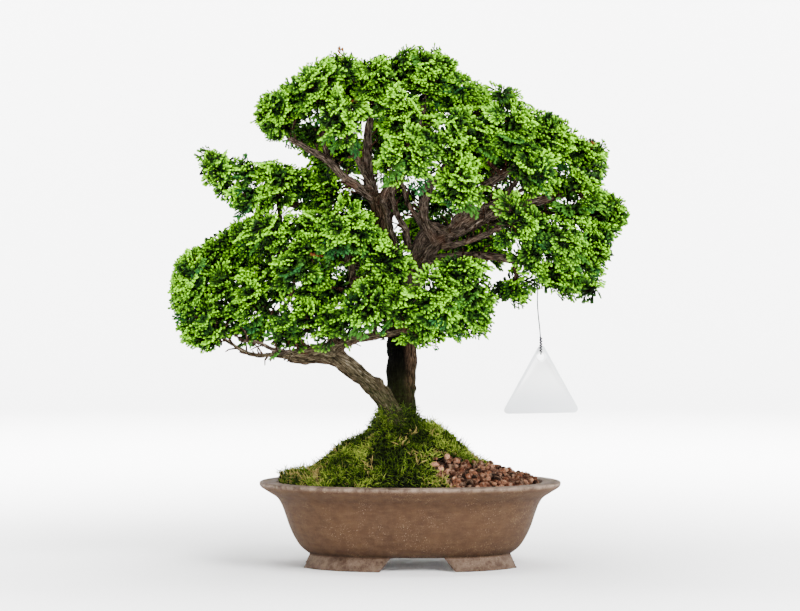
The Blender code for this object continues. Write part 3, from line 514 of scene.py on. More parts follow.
def carry(path):
    """Stations along a path: point, radius, two directions across, the one ahead, and the way covered."""
    points = [point.xyz for point in path]
    stations, covered, side = [], 0, None
    for i, point in enumerate(points):
        ahead = (points[min(i + 1, len(points) - 1)] - points[max(i - 1, 0)]).normalized()
        side = ahead.orthogonal() if side is None else side - ahead * side.dot(ahead)
        side.normalize()
        covered += (point - points[i - 1]).length if i else 0
        stations.append((point, path[i].w, side.copy(), ahead.cross(side), ahead, covered))
    return stations


def add_limb(bm, stations, sides, flutes):
    """A closed tube along a path, one ring to a station, with shallow flutes that wind a little."""
    before = None
    for i, (point, radius, side, other, ahead, covered) in enumerate(stations):
        turn = Matrix((side, other, ahead)).transposed().to_4x4()
        last = i in (0, len(stations) - 1)
        ring = bmesh.ops.create_circle(bm, cap_ends=last, segments=sides, radius=radius,
                                       matrix=Matrix.Translation(point) @ turn)["verts"]
        for k, vert in enumerate(ring):
            angle = 6.283 * k / sides
            swell = math.sin(3 * angle + covered * 0.03) + 0.6 * math.sin(5 * angle - covered * 0.05 + 1)
            vert.co += (vert.co - point) * flutes * swell
        edges = list({edge for vert in ring for edge in vert.link_edges})
        if before:
            bmesh.ops.bridge_loops(bm, edges=before + edges)
        before = edges


stations_of = {}
for name, path in {"stump": STUMP, **LIMBS, **LEADERS}.items():
    length = sum((Vector(a[:3]) - Vector(b[:3])).length for a, b in zip(path, path[1:]))
    stations_of[name] = carry(smooth_path(path, max(2, round(length / (len(path) - 1) / 3))))
for i, (x, y, z) in enumerate(ROOTS):
    root = [(0, 0, 92, 12), (x * 0.45, y * 0.45, 84, 8), (x, y, z, 3)]
    stations_of[f"root_{i}"] = carry(smooth_path(root, 6))

limbs = bmesh.new()
for name, stations in stations_of.items():
    bm = bmesh.new()
    add_limb(bm, stations, max(10, min(36, round(stations[0][1] * 2.6))), 0.07)
    face_out(bm)
    add_to(limbs, bm)
rough_wood = add_object("rough_wood", as_mesh("rough_wood", limbs))
join = rough_wood.modifiers.new("join", "REMESH")
join.mode = "VOXEL"
join.voxel_size = 1.65
wood = worked_out(rough_wood)
bpy.data.objects.remove(rough_wood)


def clamp(value):
    """The value, held between 0 and 1."""
    return max(0, min(1, value))


# Each point of the bark learns where it lies across and along its limb, so that the strips follow it. Its
# tone is 0 where black, 0.4 russet, 0.6 olive grey, 0.85 grey brown, and 1 for fine twigs; the leaning trunk's
# tone is lowered where it faces down, as painted shade.
every = [(name, station) for name, stations in stations_of.items() for station in stations]
axes = KDTree(len(every))
for i, (name, station) in enumerate(every):
    axes.insert(station[0], i)
axes.balance()
strips = wood.verts.layers.float_vector.new("strips")
tone = wood.verts.layers.float.new("tone")
wood.normal_update()
for vert in wood.verts:
    near = min(axes.find_n(vert.co, 8), key=lambda found: found[2] - every[found[1]][1][1])
    name, (point, radius, side, other, ahead, covered) = every[near[1]]
    away = vert.co - point
    spot = Vector((away.dot(side), away.dot(other), covered + away.dot(ahead)))
    vert[strips] = spot
    if name == "main":
        # The upright trunk is browner on its right side above 150 mm, and black elsewhere low down.
        browner = clamp((away.x / radius - 0.15 + 0.4 * noise.noise(vert.co * 0.08)) * 2.5)
        vert[tone] = 0.38 * browner * clamp((vert.co.z - 150) / 30) + 0.4 * clamp((vert.co.z - 215) / 50)
    elif name.startswith("front") or name == "stub":
        # Painted shade: the leaning trunk and the stub are darker where they face down.
        vert[tone] = 0.58 - 0.2 * max(0, -vert.normal.z)
    else:
        vert[tone] = 0.85
    strands = noise.noise((spot.x * 0.45, spot.y * 0.45, spot.z * 0.06))
    threads = noise.noise((spot.x * 0.9, spot.y * 0.9, spot.z * 0.15 + 7))
    relief = strands + 0.6 * threads + 0.9 * noise.noise(vert.co * 0.14)
    vert.co += vert.normal * relief * min(1.0, radius / 6) * 1.3

# Where moss can climb: the trunks' surface from the ground up to a ragged line.
trunk_feet = []
for vert in wood.verts:
    line = 149 + 9 * noise.noise(vert.co * 0.1) - 0.4 * max(0, vert.co.y)
    if ground(vert.co.x, vert.co.y) - 1 < vert.co.z < line:
        trunk_feet.append((vert.co.copy(), vert.normal.copy()))

bark, shader, place = new_material("stringy_bark", 0.01)
strips = place.stored("strips", 1)
tone = place.stored("tone")
fibres = strips.stretch((1, 1, 0.13)).clouds(1.1, 4, 0.7)
flakes = strips.stretch((1, 1, 0.35)).clouds(0.35, 3, 0.6).between(0.4, 0.62)
fuzz = place.clouds(420, 3, 0.6)
dark = tone.ramp((0, 1, 1, 1), (0.5, 4, 3, 1), (0.8, 10, 7, 4), (1, 10, 7, 5))
light = tone.ramp((0, 8, 8, 6), (0.36, 66, 50, 38), (0.56, 82, 74, 56), (0.8, 102, 90, 78), (1, 60, 45, 34))
russet = place.clouds(60, 2, 0.5).between(0.5, 0.7) * 0.5
rind = (fibres.between(0.42, 0.62) * 0.85 + flakes * 0.2).mix(dark, light)
rind = (russet * fibres * tone.between(0.5, 0.7)).mix(rind, (80, 46, 32))
rind = (fibres.between(0.6, 0.7) * tone.between(0.3, 0.5) * 0.45).mix(rind, (160, 148, 132))
damp = (1 - place.height().between(0.135, 0.19)) * fuzz.between(0.45, 0.6)
rind = (damp * 0.75).mix(rind, (28, 42, 8))
olive = fibres.mix((4, 5, 1), (36, 36, 18))
rind = ((1 - place.height().between(0.14, 0.205)) * 0.6).mix(rind, olive)
lay_on(shader, rind, 0.8 + fibres * 0.15, fibres + flakes * 0.5 + fuzz * 0.2, 0.0016)
set_down("barked_wood", wood, bark, "bark", "wood")


# Moss. Living moss packed in cushions over the roots and up the foot of both trunks: a dark, lumpy felt with
# fine curled strands on it, yellow-green at the tips and on the ridges, with painted shade close to the upright
# trunk. Dry, straw-coloured strands are thickest by the gravel and at the left end. A strand's shade is 2 where
# it is dry, and else 0 to 1.
def add_spike(bm, layer, root, ahead, turn, depth, radii, tip_at, past):
    """A three-sided rod whose far end runs out to a point, which is returned."""
    stand = Matrix.Translation(root + ahead * depth / 2) @ turn
    made = bmesh.ops.create_cone(bm, cap_ends=True, segments=3, radius1=radii[0], radius2=radii[1],
                                 depth=depth, matrix=stand)["verts"]
    for vert in made:
        vert[layer] = tip_at((vert.co - root).dot(ahead) / depth)
    faces = {face for vert in made for face in vert.link_faces}
    end = max(faces, key=lambda face: (face.calc_center_median() - root).dot(ahead))
    point = bmesh.ops.poke(bm, faces=[end])["verts"][0]
    point.co += past
    return point


def add_strand(bm, layer, root, ahead, bend, length, wide):
    """A strand that bends half way and runs out to a point."""
    turn = ahead.to_track_quat("Z", "Y").to_matrix().to_4x4()
    past = (ahead + bend).normalized() * length / 2
    radii = (wide, wide * 0.75)
    add_spike(bm, layer, root, ahead, turn, length / 2, radii, lambda share: share / 2, past)[layer] = 1


rng = random.Random(31)
tufts = []
for _ in range(10):
    bm = bmesh.new()
    tip = bm.verts.layers.float.new("tip")
    bm.verts.layers.float.new("shade")
    for i in range(5):
        way = Vector((math.cos(i * 1.26 + rng.uniform(-0.5, 0.5)), math.sin(i * 1.26), 0))
        lean = way * rng.uniform(0.2, 1.3)
        root = lean * 0.9 + Vector((0, 0, -1))
        bend = Vector((rng.uniform(-1, 1), rng.uniform(-1, 1), rng.uniform(-0.9, 0.2))) * 1.2
        add_strand(bm, tip, root, (Vector((0, 0, 1)) + lean).normalized(), bend, rng.uniform(4.4, 7.6),
                   rng.uniform(0.3, 0.42))
    face_out(bm)
    tufts.append(as_mesh("tuft", bm))


def plant(bm, template, matrix, shade):
    """Adds one copy of a small template to a piece, with its own shade."""
    copy = template.copy()
    copy.transform(matrix)
    copy.attributes["shade"].data.foreach_set("value", [shade] * len(copy.vertices))
    bm.from_mesh(copy)
    bpy.data.meshes.remove(copy)


def facing(ahead, up, point, size):
    """Matrix that stands a template at a point, its Y axis ahead and its Z axis as near to up as can be."""
    ahead = ahead.normalized()
    side = ahead.cross(up).normalized()
    turn = Matrix((side, ahead, side.cross(ahead))).transposed().to_4x4()
    return Matrix.Translation(point) @ turn @ Matrix.Scale(size, 4)


FELT_LUMPS = 2.6
TUFT_STEP = 3.1
TUFT_SIZES = (0.8, 0.9, 1, 1.1, 1.3, 1.8)
moss = bed(lambda x, y: in_pot(x, y, -0.5) and past_edge(x, y) < 1, 3, FELT_LUMPS, 0.8)
moss.verts.layers.float.new("tip")
moss.verts.layers.float.new("shade")
rooted = []
for i in range(80):
    for j in range(55):
        x = -117 + TUFT_STEP * (i + rng.uniform(-0.5, 0.5))
        y = -85 + TUFT_STEP * (j + rng.uniform(-0.5, 0.5))
        if in_pot(x, y, 0.5) and past_edge(x, y) < 2:
            out = Vector((ground(x - 3, y) - ground(x + 3, y), ground(x, y - 3) - ground(x, y + 3), 6))
            spot = Vector((x, y, ground(x, y) + hummocks(x, y) * FELT_LUMPS))
            rooted.append((spot, out.normalized()))
rooted += [foot for foot in trunk_feet if rng.random() < 0.16]
for point, out in rooted:
    lean = Vector((rng.uniform(-0.5, 0.5), rng.uniform(-0.5, 0.5), 0.35))
    up = (out + lean).normalized()
    spin = Vector((rng.uniform(-1, 1), rng.uniform(-1, 1), 0.01))
    patch_and_shade = 0.43 + 1.1 * noise.noise((point.x * 0.045, point.y * 0.045, 9)) + 0.4 * hummocks(*point.xy)
    patch_and_shade += rng.uniform(-0.3, 0.3)
    # Painted shade: darker in a band under the upright trunk.
    patch_and_shade -= 0.35 * max(0, 1 - abs(point.x - 2) / 26)
    by_gravel = past_edge(point.x, point.y) > -14 and point.y < 0
    browner = rng.random() < (0.3 if by_gravel else 0.2 if point.x < -70 else 0.03) and point.z < 128
    size = rng.choice(TUFT_SIZES)
    stand = facing(spin - up * spin.dot(up), up, point, size)
    plant(moss, rng.choice(tufts), stand, 2 if browner else clamp(patch_and_shade))

felt, shader, place = new_material("moss_strands", 0.05)
tip = place.stored("tip")
patch_and_shade = place.stored("shade")
fuzz = place.clouds(500, 3, 0.6)
lit = tip * 0.8 + patch_and_shade.math("MINIMUM", patch_and_shade, 1.0) * 0.42 + fuzz * 0.2 - 0.24
leafy = lit.ramp((0, 3, 5, 1), (0.3, 17, 28, 3), (0.6, 62, 85, 15), (0.95, 164, 178, 70))
leafy = patch_and_shade.between(1.4, 1.6).mix(leafy, (tip + fuzz * 0.4).mix((46, 36, 18), (150, 132, 76)))
lay_on(shader, leafy, 0.8 + fuzz * 0.15, fuzz, 0.0006)
set_down("moss_cushion", moss, felt, "moss", "moss")


# Foliage. Flat fans of blunt, scale-covered fingers, held in layers on every twig and drooping at the edges,
# with the new growth lime at the tips, deeper green behind it and blue-green in the shade. Painted light
# brightens the upper, open sprays and painted shade darkens those deep in each pad. Each pad of the crown is
# one piece, and all the fine twigs that carry the sprays are another.
FINGER_GAP, FINGER_LONG, FINGER_WIDE = 4.2, 6.4, 2.5
SPRAY_LONG = 17


def add_finger(bm, layer, root, ahead, length, wide, low, high):
    """A blunt, flattened finger with a ridge on top, widest at its shoulder and closed in a point."""
    side = Vector((0, 0, 1)).cross(ahead).normalized()
    body = length * 0.88
    turn = Matrix((side * wide / 1.73, ahead.cross(side) * wide * 0.45, ahead)).transposed().to_4x4()
    point = add_spike(bm, layer, root, ahead, turn, body, (0, 1),
                      lambda share: low + (high - low) * 0.8 * clamp(share), ahead * length * 0.12)
    point[layer] = high


def spray_template(seed, pairs):
    """A flat spray: a stalk with pairs of fingers, the lowest forked, bowed down at its tip and edges."""
    rng = random.Random(seed)
    bm = bmesh.new()
    layer = bm.verts.layers.float.new("tip")
    bm.verts.layers.float.new("shade")
    bow, cup, sway = rng.uniform(2, 5), rng.uniform(0.8, 2.8), rng.uniform(-1.6, 1.6)

    def bowed(x, y):
        return Vector((x + sway * (y / 18) ** 2, y, -bow * (y / 18) ** 2 - cup * (x / 9) ** 2))

    def finger(x, y, angle, length, wide):
        root = bowed(x, y)
        end_x, end_y = x + math.sin(angle) * length, y + math.cos(angle) * length
        end = bowed(end_x, end_y)
        add_finger(bm, layer, root, (end - root).normalized(), (end - root).length, wide,
                   0.3 * y / 18, 0.75 + 0.25 * min(1, end_y / 16))
        return end_x, end_y

    finger(0, 0, 0, (4.5 + FINGER_GAP * pairs) * rng.uniform(0.94, 1.04), 2.3)
    for side in (-1, 1):
        for k in range(pairs):
            y = 2 + FINGER_GAP * k + side + rng.uniform(-0.6, 0.6)
            angle = side * math.radians(54 - 6 * k + rng.uniform(-9, 9))
            length = (FINGER_LONG + 1.3 * (pairs - 1 - k) - (0.8 if not k else 0)) * rng.uniform(0.85, 1.2)
            finger(0, y, angle, length, FINGER_WIDE)
            if k == 0:
                share = rng.uniform(0.4, 0.55)
                x, fork = math.sin(angle) * length * share, y + math.cos(angle) * length * share
                finger(x, fork, angle - side * math.radians(rng.uniform(36, 50)), length * 0.55, 2.3)
    face_out(bm)
    return as_mesh("spray", bm)


sprays = [spray_template(seed, 3) for seed in range(12)]
old_sprays = [spray_template(seed, 2) for seed in range(20, 26)]

# A spray's shade is 0 to 1 for how fresh it is and for its painted light, high on the upper, open sprays and
# low deep in a pad; it is 2 where dead and brown, and 3 where old and blue-green.
scales, shader, place = new_material("scale_leaves", 0.03)
tip = place.stored("tip")
shade = place.stored("shade")
drift = place.clouds(28, 2, 0.5)
beads = place.node("TexVoronoi", {}, {"Vector": place, "Scale": 620.0, "Randomness": 0.8})
fresh_and_lit = tip * 1.2 + shade * 0.52 + drift * 0.3 - 0.69
leaf = fresh_and_lit.ramp((0, 4, 8, 2), (0.25, 17, 36, 9), (0.55, 46, 80, 16), (0.95, 128, 202, 6))
blue = drift.between(0.52, 0.66) * (1 - tip * 0.6) * 0.4 + shade.between(2.4, 2.6) * 0.9
leaf = blue.mix(leaf, tip.mix((5, 24, 10), (34, 80, 36)))
leaf = (shade.between(1.4, 1.6) * (1 - shade.between(2.4, 2.6))).mix(leaf, (84, 50, 22))
lay_on(shader, leaf, 0.55 + drift * 0.15, beads, 0.0004)

# Small tufts between the pads, as (x, z, half width, half height, how far behind). Each joins the piece of
# the nearest pad.
TUFTS = [(-54, 470, 14, 12, 0), (-1, 471, 13, 12, 0), (42, 474, 14, 10, 0), (-142, 371, 18, 11, 0),
         (160, 335, 16, 12, 0), (178, 263, 15, 10, 0), (98, 441, 12, 9, 0), (142, 421, 14, 9, 0),
         (-163, 261, 16, 16, 0), (-106, 217, 20, 9, 0), (-88, 254, 12, 10, 0), (-143, 347, 18, 10, 0),
         (-140, 221, 18, 12, 0), (-84, 296, 20, 14, 0), (92, 350, 18, 10, 0), (-30, 300, 16, 12, 0),
         (60, 262, 16, 12, 0), (120, 290, 16, 12, 0), (-84, 232, 12, 11, 0), (-52, 445, 16, 12, 4),
         (-20, 392, 14, 24, 26), (-41, 347, 17, 12, 20), (4, 350, 14, 14, 30), (40, 350, 15, 11, 26),
         (100, 383, 17, 12, 8), (149, 362, 15, 12, 4), (-114, 262, 14, 9, 10), (30, 300, 14, 16, 34),
         (-158, 281, 16, 14, 10), (-128, 278, 16, 12, 12), (-74, 247, 14, 12, 14), (-20, 296, 13, 14, 20),
         (-86, 412, 14, 10, 8), (-42, 458, 12, 12, 12)]
# Gaps where the sky shows through the crown, as (x, z, half width, half height).
SKY = [(-116, 246, 10, 4), (-94, 211, 5, 5), (-50, 255, 5, 3), (-41, 224, 6, 4), (-62, 403, 7, 2),
       (23, 356, 4, 3), (48, 332, 4, 6), (-9, 323, 2, 6), (11, 304, 2, 5), (173, 352, 5, 3),
       (96, 327, 8, 1.5), (94, 279, 11, 2.5)]
# Outline of the crown from the front, read off the photograph in its own pixels, 0.95 mm each. Its
# first points, from the lower left round over the top to the lower right, are fringed with fans.
CROWN = [(191, 347), (176, 326), (167, 292), (171, 265), (181, 251), (200, 242), (215, 233), (230, 220),
         (240, 212), (217, 199), (213, 187), (203, 175), (194, 158), (209, 145), (227, 155), (246, 158),
         (262, 162), (284, 161), (296, 166), (306, 165), (314, 160), (298, 149), (283, 143), (268, 137),
         (252, 122), (254, 108), (258, 96), (272, 88), (290, 80), (300, 70), (318, 64), (333, 52),
         (347, 55), (360, 62), (378, 60), (398, 52), (418, 44), (432, 50), (446, 51), (457, 58),
         (466, 70), (486, 84), (500, 90), (511, 90), (520, 103), (540, 107), (555, 112), (568, 122),
         (590, 138), (604, 142), (612, 156), (611, 172), (604, 186), (612, 190), (622, 196), (632, 215),
         (620, 237), (606, 256), (608, 266), (598, 290), (581, 303), (556, 285), (531, 300), (512, 305),
         (502, 300), (494, 325), (488, 343), (476, 338), (461, 345), (450, 335), (437, 353), (424, 345),
         (400, 342), (370, 350), (345, 355), (325, 350), (300, 362), (282, 360), (262, 348), (226, 346),
         (209, 350)]
FRINGED = 66
crown_edge = [((x - 400) * 0.95, 537 - z * 0.95) for x, z in CROWN]


def reach(point, centre, half):
    """How far out from a pad's middle a point lies: 0 is its middle and 1 its skin."""
    return Vector([(point - centre)[k] / half[k] for k in range(3)]).length


# Every pad as (piece, middle, half size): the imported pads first, then the tufts and a pad between neighbours.
pads = []
for node in sorted(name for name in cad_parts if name.startswith("foliage_")):
    low, high = (TO_FRAME.inverted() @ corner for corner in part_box(node))
    pads.append((node, (low + high) / 2, (high - low) / 2))
main_pads = pads[:]
for x, z, wide, tall, back in TUFTS:
    node, centre, half = min(main_pads, key=lambda pad: math.hypot(pad[1].x - x, pad[1].z - z))
    pads.append((node, Vector((x, back or centre.y * 0.9 - 2, z)), Vector((wide, 18, tall))))
for i, (node, centre, half) in enumerate(main_pads):
    for _, other, other_half in main_pads[i + 1:]:
        middle = centre.lerp(other, 0.5)
        free = all(reach(middle, *pad[1:]) > 0.62 for pad in pads)
        if free and reach(other, centre, half + other_half) < 1.05:
            pads.append((node, middle, (half + other_half) * 0.27 + Vector((2, 2, 2))))
limb_points = [station for name in [*LIMBS, *LEADERS] for station in stations_of[name]
               if station[0].z > 195]
low_corner, high_corner = (TO_FRAME.inverted() @ corner for corner in cad_box)
up = Vector((0, 0, 1))
rng = random.Random(8)
pieces = {node: bmesh.new() for node in sorted({pad[0] for pad in pads})}
for bm in pieces.values():
    bm.verts.layers.float.new("tip")
    bm.verts.layers.float.new("shade")
twigs = bmesh.new()


def shake(amount):
    """A random nudge, up to an amount each way."""
    return Vector([rng.uniform(-amount, amount) for _ in range(3)])


def add_twig(route, sides, steps):
    """A closed round twig along a few points of (x, y, z, radius)."""
    bm = bmesh.new()
    add_limb(bm, carry(smooth_path(route, steps)), sides, 0)
    face_out(bm)
    add_to(twigs, bm)


def openness(point, own):
    """How far out of the other pads a point lies: 1 and more is outside all of them."""
    return min(reach(point, centre, half) for _, centre, half in pads if centre is not own)


def in_crown(point):
    """Whether a point lies inside the outline of the crown."""
    crossings = 0
    for (x1, z1), (x2, z2) in zip(crown_edge, crown_edge[1:] + crown_edge[:1]):
        if (z1 > point.z) != (z2 > point.z) and point.x < x1 + (x2 - x1) * (point.z - z1) / (z2 - z1):
            crossings += 1
    return crossings % 2 == 1


def in_sky(point, margin):
    """Whether a point lies in a gap of the crown or within a margin of it."""
    return any(((point.x - x) / (wide + margin)) ** 2 + ((point.z - z) / (tall + margin)) ** 2 < 1
               for x, z, wide, tall in SKY)


OVER_EDGE = 7
DEAD_SHARE = 0.003


def add_fan(node, root, ahead, face, bright, old):
    """Three sprays that spread from one twig, kept out of the gaps and, but for a few, inside the outline."""
    past = OVER_EDGE if rng.random() < 0.25 else 0
    own = bright + rng.uniform(-0.34, 0.2)
    for fan in (-1, 0, 1):
        turned = Matrix.Rotation(fan * rng.uniform(0.55, 0.8), 3, face) @ ahead.normalized()
        turned = (turned + shake(0.12)).normalized()
        size = rng.uniform(1.08, 1.28) if not fan else rng.uniform(0.85, 1.08)
        stem = root + turned * 2 + face.normalized() * (1.2 * fan + rng.uniform(-0.8, 0.8))
        end = stem + turned * SPRAY_LONG * size
        if not in_crown(end):
            size *= 0.75
            end = stem + turned * SPRAY_LONG * size
        outside = any(end[i] < low_corner[i] - 1 or end[i] > high_corner[i] + 1 for i in range(3))
        if outside or in_sky(end, 0) or not in_crown(end - turned * past):
            continue
        shown = clamp(own + rng.uniform(-0.1, 0.1))
        spray = rng.choice(sprays)
        dead = not old and rng.random() < DEAD_SHARE
        plant(pieces[node], spray, facing(turned, face, stem, size), 3 if old else 2 if dead else shown)


FILL_AREA = 48
LEVEL_HIGH = 8
INSETS = (18, 28)
ARM_STEPS = (10.5, 19.5)
for node, centre, half in pads:
    hub = centre - Vector((0, 0, half.z * 0.3))
    start = min(limb_points, key=lambda station: (station[0] - hub).length - station[1])
    sag = Vector((rng.uniform(-1, 1), rng.uniform(-1, 1), rng.uniform(-1, 0.4)))
    knee = (start[0] + hub) / 2 + sag * (start[0] - hub).length * 0.12
    thick = min(2.6, start[1] * 0.8)
    top = centre + Vector((rng.uniform(-4, 4), rng.uniform(-4, 4), half.z * 0.45))
    add_twig([(*start[0], thick), (*knee, thick * 0.8), (*hub, 1.4), (*top, 0.8)], 6, 5)
    from_axis = Vector((centre.x, centre.y, 0)) * 0.009
    # Old sprays, painted dark as shade, fill the middle and close it to the light from every side.
    for _ in range(round((half.x * half.y + half.x * half.z + half.y * half.z) / FILL_AREA)):
        way = Vector([rng.gauss(0, 1) for _ in range(3)]).normalized() * rng.uniform(0.15, 0.62)
        middle = centre + way * half
        ahead = Vector((rng.gauss(0, 1), rng.gauss(0, 1), rng.uniform(-0.5, 0.5)))
        face = Vector((rng.gauss(0, 1), rng.gauss(0, 1), rng.gauss(0, 0.5)))
        along = ahead.normalized()
        root = middle - along * 8
        if not in_sky(root + along * 8, 4) and in_crown(root + along * 22):
            spray = rng.choice(old_sprays)
            plant(pieces[node], spray, facing(ahead, face, root, rng.uniform(1.3, 1.6)), rng.uniform(0, 0.12))
    # Fans in level rings, an outer and an inner one, each on its own twig from the pad's stem.
    levels = max(2, round(half.z * 2 / LEVEL_HIGH))
    for level in range(levels):
        rise = -0.78 + 1.72 * (level + 0.5) / levels
        flat = math.sqrt(1 - rise * rise)
        knot = hub.lerp(top, (level + 0.5) / levels)
        for ring, inset in enumerate(INSETS):
            wide_x, wide_y = half.x * flat - inset, half.y * flat - inset
            if ring and min(wide_x, wide_y) < 2:
                continue
            wide_x, wide_y = max(wide_x, 3), max(wide_y, 3)
            arms = max(3, round((wide_x + wide_y) * 3.14 / ARM_STEPS[ring]))
            first = rng.uniform(0, 6.28)
            for k in range(arms):
                angle = first + 6.283 * k / arms + rng.uniform(-0.2, 0.2)
                radial = Vector((math.cos(angle), math.sin(angle), 0))
                root = centre + Vector((radial.x * wide_x, radial.y * wide_y, rise * half.z - inset * 0.1))
                root += shake(3)
                openly = openness(root, centre)
                if in_sky(root + radial * 6, 1) or openly < 0.7 and rng.random() < 0.8:
                    continue
                if k % 2 == 0 and openly > 0.6:
                    sway = Vector((rng.uniform(-1, 1), rng.uniform(-1, 1), rng.uniform(-1, 0))) * 2
                    knee = (knot + root) / 2 + sway
                    add_twig([(*knot, 1.0), (*knee, 0.85), (*(root + radial * 3), 0.55)], 4, 2)
                out = (radial + from_axis).normalized()
                tangent = up.cross(out) * rng.choice((-1, 1))
                style = rng.random()
                hanging = level == 0 and rng.random() < 0.25
                if hanging:
                    ahead = out * 0.8 - up * rng.uniform(0.2, 1) + tangent * rng.uniform(0, 0.4)
                    face = out + up * 0.5
                elif style < 0.62 - 0.3 * abs(out.y):
                    ahead = out + up * (rise * 0.45 + rng.uniform(-0.4, 0.25)) + tangent * rng.uniform(0, 0.5)
                    face = up * 0.75 + out * 0.75
                elif style < 0.87:
                    ahead = tangent * 0.9 + out * 0.45 + up * (rise * 0.4 + rng.uniform(-0.4, 0.4))
                    face = out * 0.8 + up * 0.6
                else:
                    ahead = up * (0.3 + rise) + out * 0.5 + tangent * 0.4
                    face = out + up * 0.3
                face += shake(0.18)
                # Painted light: sprays are brighter on the upper levels and where the pad is open, and darker
                # on the inner ring.
                bright = 0.49 + 0.28 * rise - 0.3 * ring + 0.25 * max(-1, min(1, (openly - 0.9) * 2))
                old = hanging or rng.random() < (0.05 if rise < 0 else 0.02)
                add_fan(node, root, ahead, face, bright, old)
# Fans along the fringed part of the outline.
FRINGE_STEP, FRINGE_BACK = 9, 20.5
for (x1, z1), (x2, z2) in zip(crown_edge[:FRINGED], crown_edge[1:]):
    length = math.hypot(x2 - x1, z2 - z1)
    out = Vector((z1 - z2, 0, x2 - x1)) / length
    fans = max(1, round(length / FRINGE_STEP))
    for k in range(fans):
        share = (k + rng.uniform(0.2, 0.8)) / fans
        rim = Vector((x1 + (x2 - x1) * share, 0, z1 + (z2 - z1) * share))
        node, centre, half = min(main_pads, key=lambda pad: math.hypot(pad[1].x - rim.x, pad[1].z - rim.z))
        rim.y = centre.y + rng.uniform(-8, 8)
        ahead = out + Vector((0, rng.uniform(-0.5, 0.3), rng.uniform(0, 0.35)))
        face = Vector((0, -1, 0.9 if out.z > -0.3 else -0.4))
        old = out.z < -0.5 and rng.random() < 0.4
        # Painted light: fans along the top of the outline are brighter than those under it.
        add_fan(node, rim - out * FRINGE_BACK, ahead, face, 0.55 + 0.25 * out.z, old)
# Short dead twigs stand out of the limbs under the green.
for point, radius, side, other, ahead, covered in limb_points:
    if radius > 9 or rng.random() < 0.5:
        continue
    angle = rng.uniform(0, 6.28)
    out = (side * math.cos(angle) + other * math.sin(angle) + up * 0.4 + ahead * 0.5).normalized()
    kink = shake(0.7)
    first = point + out * radius * 0.7
    length = rng.uniform(3, 9)
    knee = first + out * length
    add_twig([(*first, 1.3), (*knee, 0.95), (*(knee + (out + kink).normalized() * length * 0.8), 0.6)], 4, 1)
for node, bm in pieces.items():
    set_down("sprays" + node[len("foliage"):], bm, scales, "leaf", node)
strips = twigs.verts.layers.float_vector.new("strips")
tone = twigs.verts.layers.float.new("tone")
for vert in twigs.verts:
    vert[strips], vert[tone] = vert.co, 1
set_down("fine_twigs", twigs, bark, "bark")


# Label. A blank plate of white plastic with rounded corners and a white eyelet, hung by a loop of thin steel
# wire that passes over a twig and is twisted on itself above the plate. A band of painted shade, light grey,
# runs round the edge of the plate's face.
TAG_CORNERS = [(95.5, 144.6), (170.0, 146.0), (133.0, 213.0)]
TAG_Y = -20
TAG_HOLE = Vector((132.6, TAG_Y, 198.6))
plate = bmesh.new()
rim_shade_of = plate.verts.layers.float.new("rim")
corners = [plate.verts.new((x, TAG_Y - 0.5, z)) for x, z in TAG_CORNERS]
face = plate.faces.new(corners)
bmesh.ops.bevel(plate, geom=corners, offset=7.0, affect="VERTICES", segments=8, profile=0.5, material=-1)
outline = plate.verts[:]
bmesh.ops.inset_region(plate, faces=plate.faces[:], thickness=1.3)
for vert in outline:
    vert[rim_shade_of] = 1
copied = bmesh.ops.extrude_face_region(plate, geom=plate.faces[:])["geom"]
back = [item for item in copied if isinstance(item, bmesh.types.BMVert)]
bmesh.ops.translate(plate, verts=back, vec=(0, 1, 0))
face_out(plate)
rim = [edge for edge in plate.edges if edge.calc_face_angle(0) > 1]
bmesh.ops.bevel(plate, geom=rim, offset=0.25, affect="EDGES", segments=2, profile=0.5, material=-1)
to_eyelet = Matrix.Translation(TAG_HOLE) @ Matrix.Rotation(math.pi / 2, 4, "X")
punch = bmesh.new()
bmesh.ops.create_cone(punch, cap_ends=True, segments=32, radius1=3.4, radius2=3.4, depth=6, matrix=to_eyelet)
plate = drill(plate, punch)
to_rim = to_eyelet @ Matrix.Translation((4.1, 0, 0)) @ Matrix.Rotation(math.pi / 2, 4, "X")
ring = bmesh.ops.create_circle(plate, segments=10, radius=0.85, matrix=to_rim)["verts"]
ring_edges = list({edge for vert in ring for edge in vert.link_edges})
bmesh.ops.spin(plate, geom=ring + ring_edges, cent=TAG_HOLE, axis=(0, 1, 0), angle=math.tau, steps=32,
               use_merge=True)
face_out(plate)

white, shader, place = new_material("white_plastic", 0.5)
dull = place.clouds(120, 3, 0.6)
plain = dull.mix((247, 248, 248), (252, 252, 252))
# Painted shade: the band round the edge of the face is grey.
shown = place.stored("rim").between(0.15, 0.9).mix(plain, (196, 199, 202))
lay_on(shader, shown, 0.32 + dull * 0.12, dull, 0.00008)
set_down("blank_tag", plate, white, "tag", "tag")

WIRE_RADIUS = 0.6
WIRE = [(130, -14.6, 279), (130, -14.3, 285), (130, -16.4, 288.4), (130, -19.2, 289.6), (130, -22.2, 288.6),
        (130, -24.4, 285), (129.6, -24.2, 268), (129.2, -24, 247), (131.4, -24, 224), (132.6, -23.4, 207),
        (132.6, -22.2, 201.6), (132.6, -20, 200.6), (132.6, -17.8, 201.6), (132.6, -16.6, 207),
        (132.2, -18.2, 217)]
wire = bmesh.new()
add_limb(wire, carry(smooth_path([(*point, WIRE_RADIUS) for point in WIRE], 5)), 10, 0)
turns = [(132.4 + 0.9 * math.cos(k), -23.4 + 0.9 * math.sin(k), 203 + k * 0.4, 0.7)
         for k in [0.7 * i for i in range(50)]]
add_limb(wire, carry(smooth_path(turns, 2)), 8, 0)
face_out(wire)
steel, shader, place = new_material("steel_wire", 0.5)
shader.inputs["Metallic"].default_value = 1
draw = place.clouds(700, 3, 0.6)
lay_on(shader, draw.mix((22, 22, 24), (56, 56, 60)), 0.34 + draw * 0.16, draw, 0.00005)
set_down("steel_wire", wire, steel, "wire", "tag_wire")


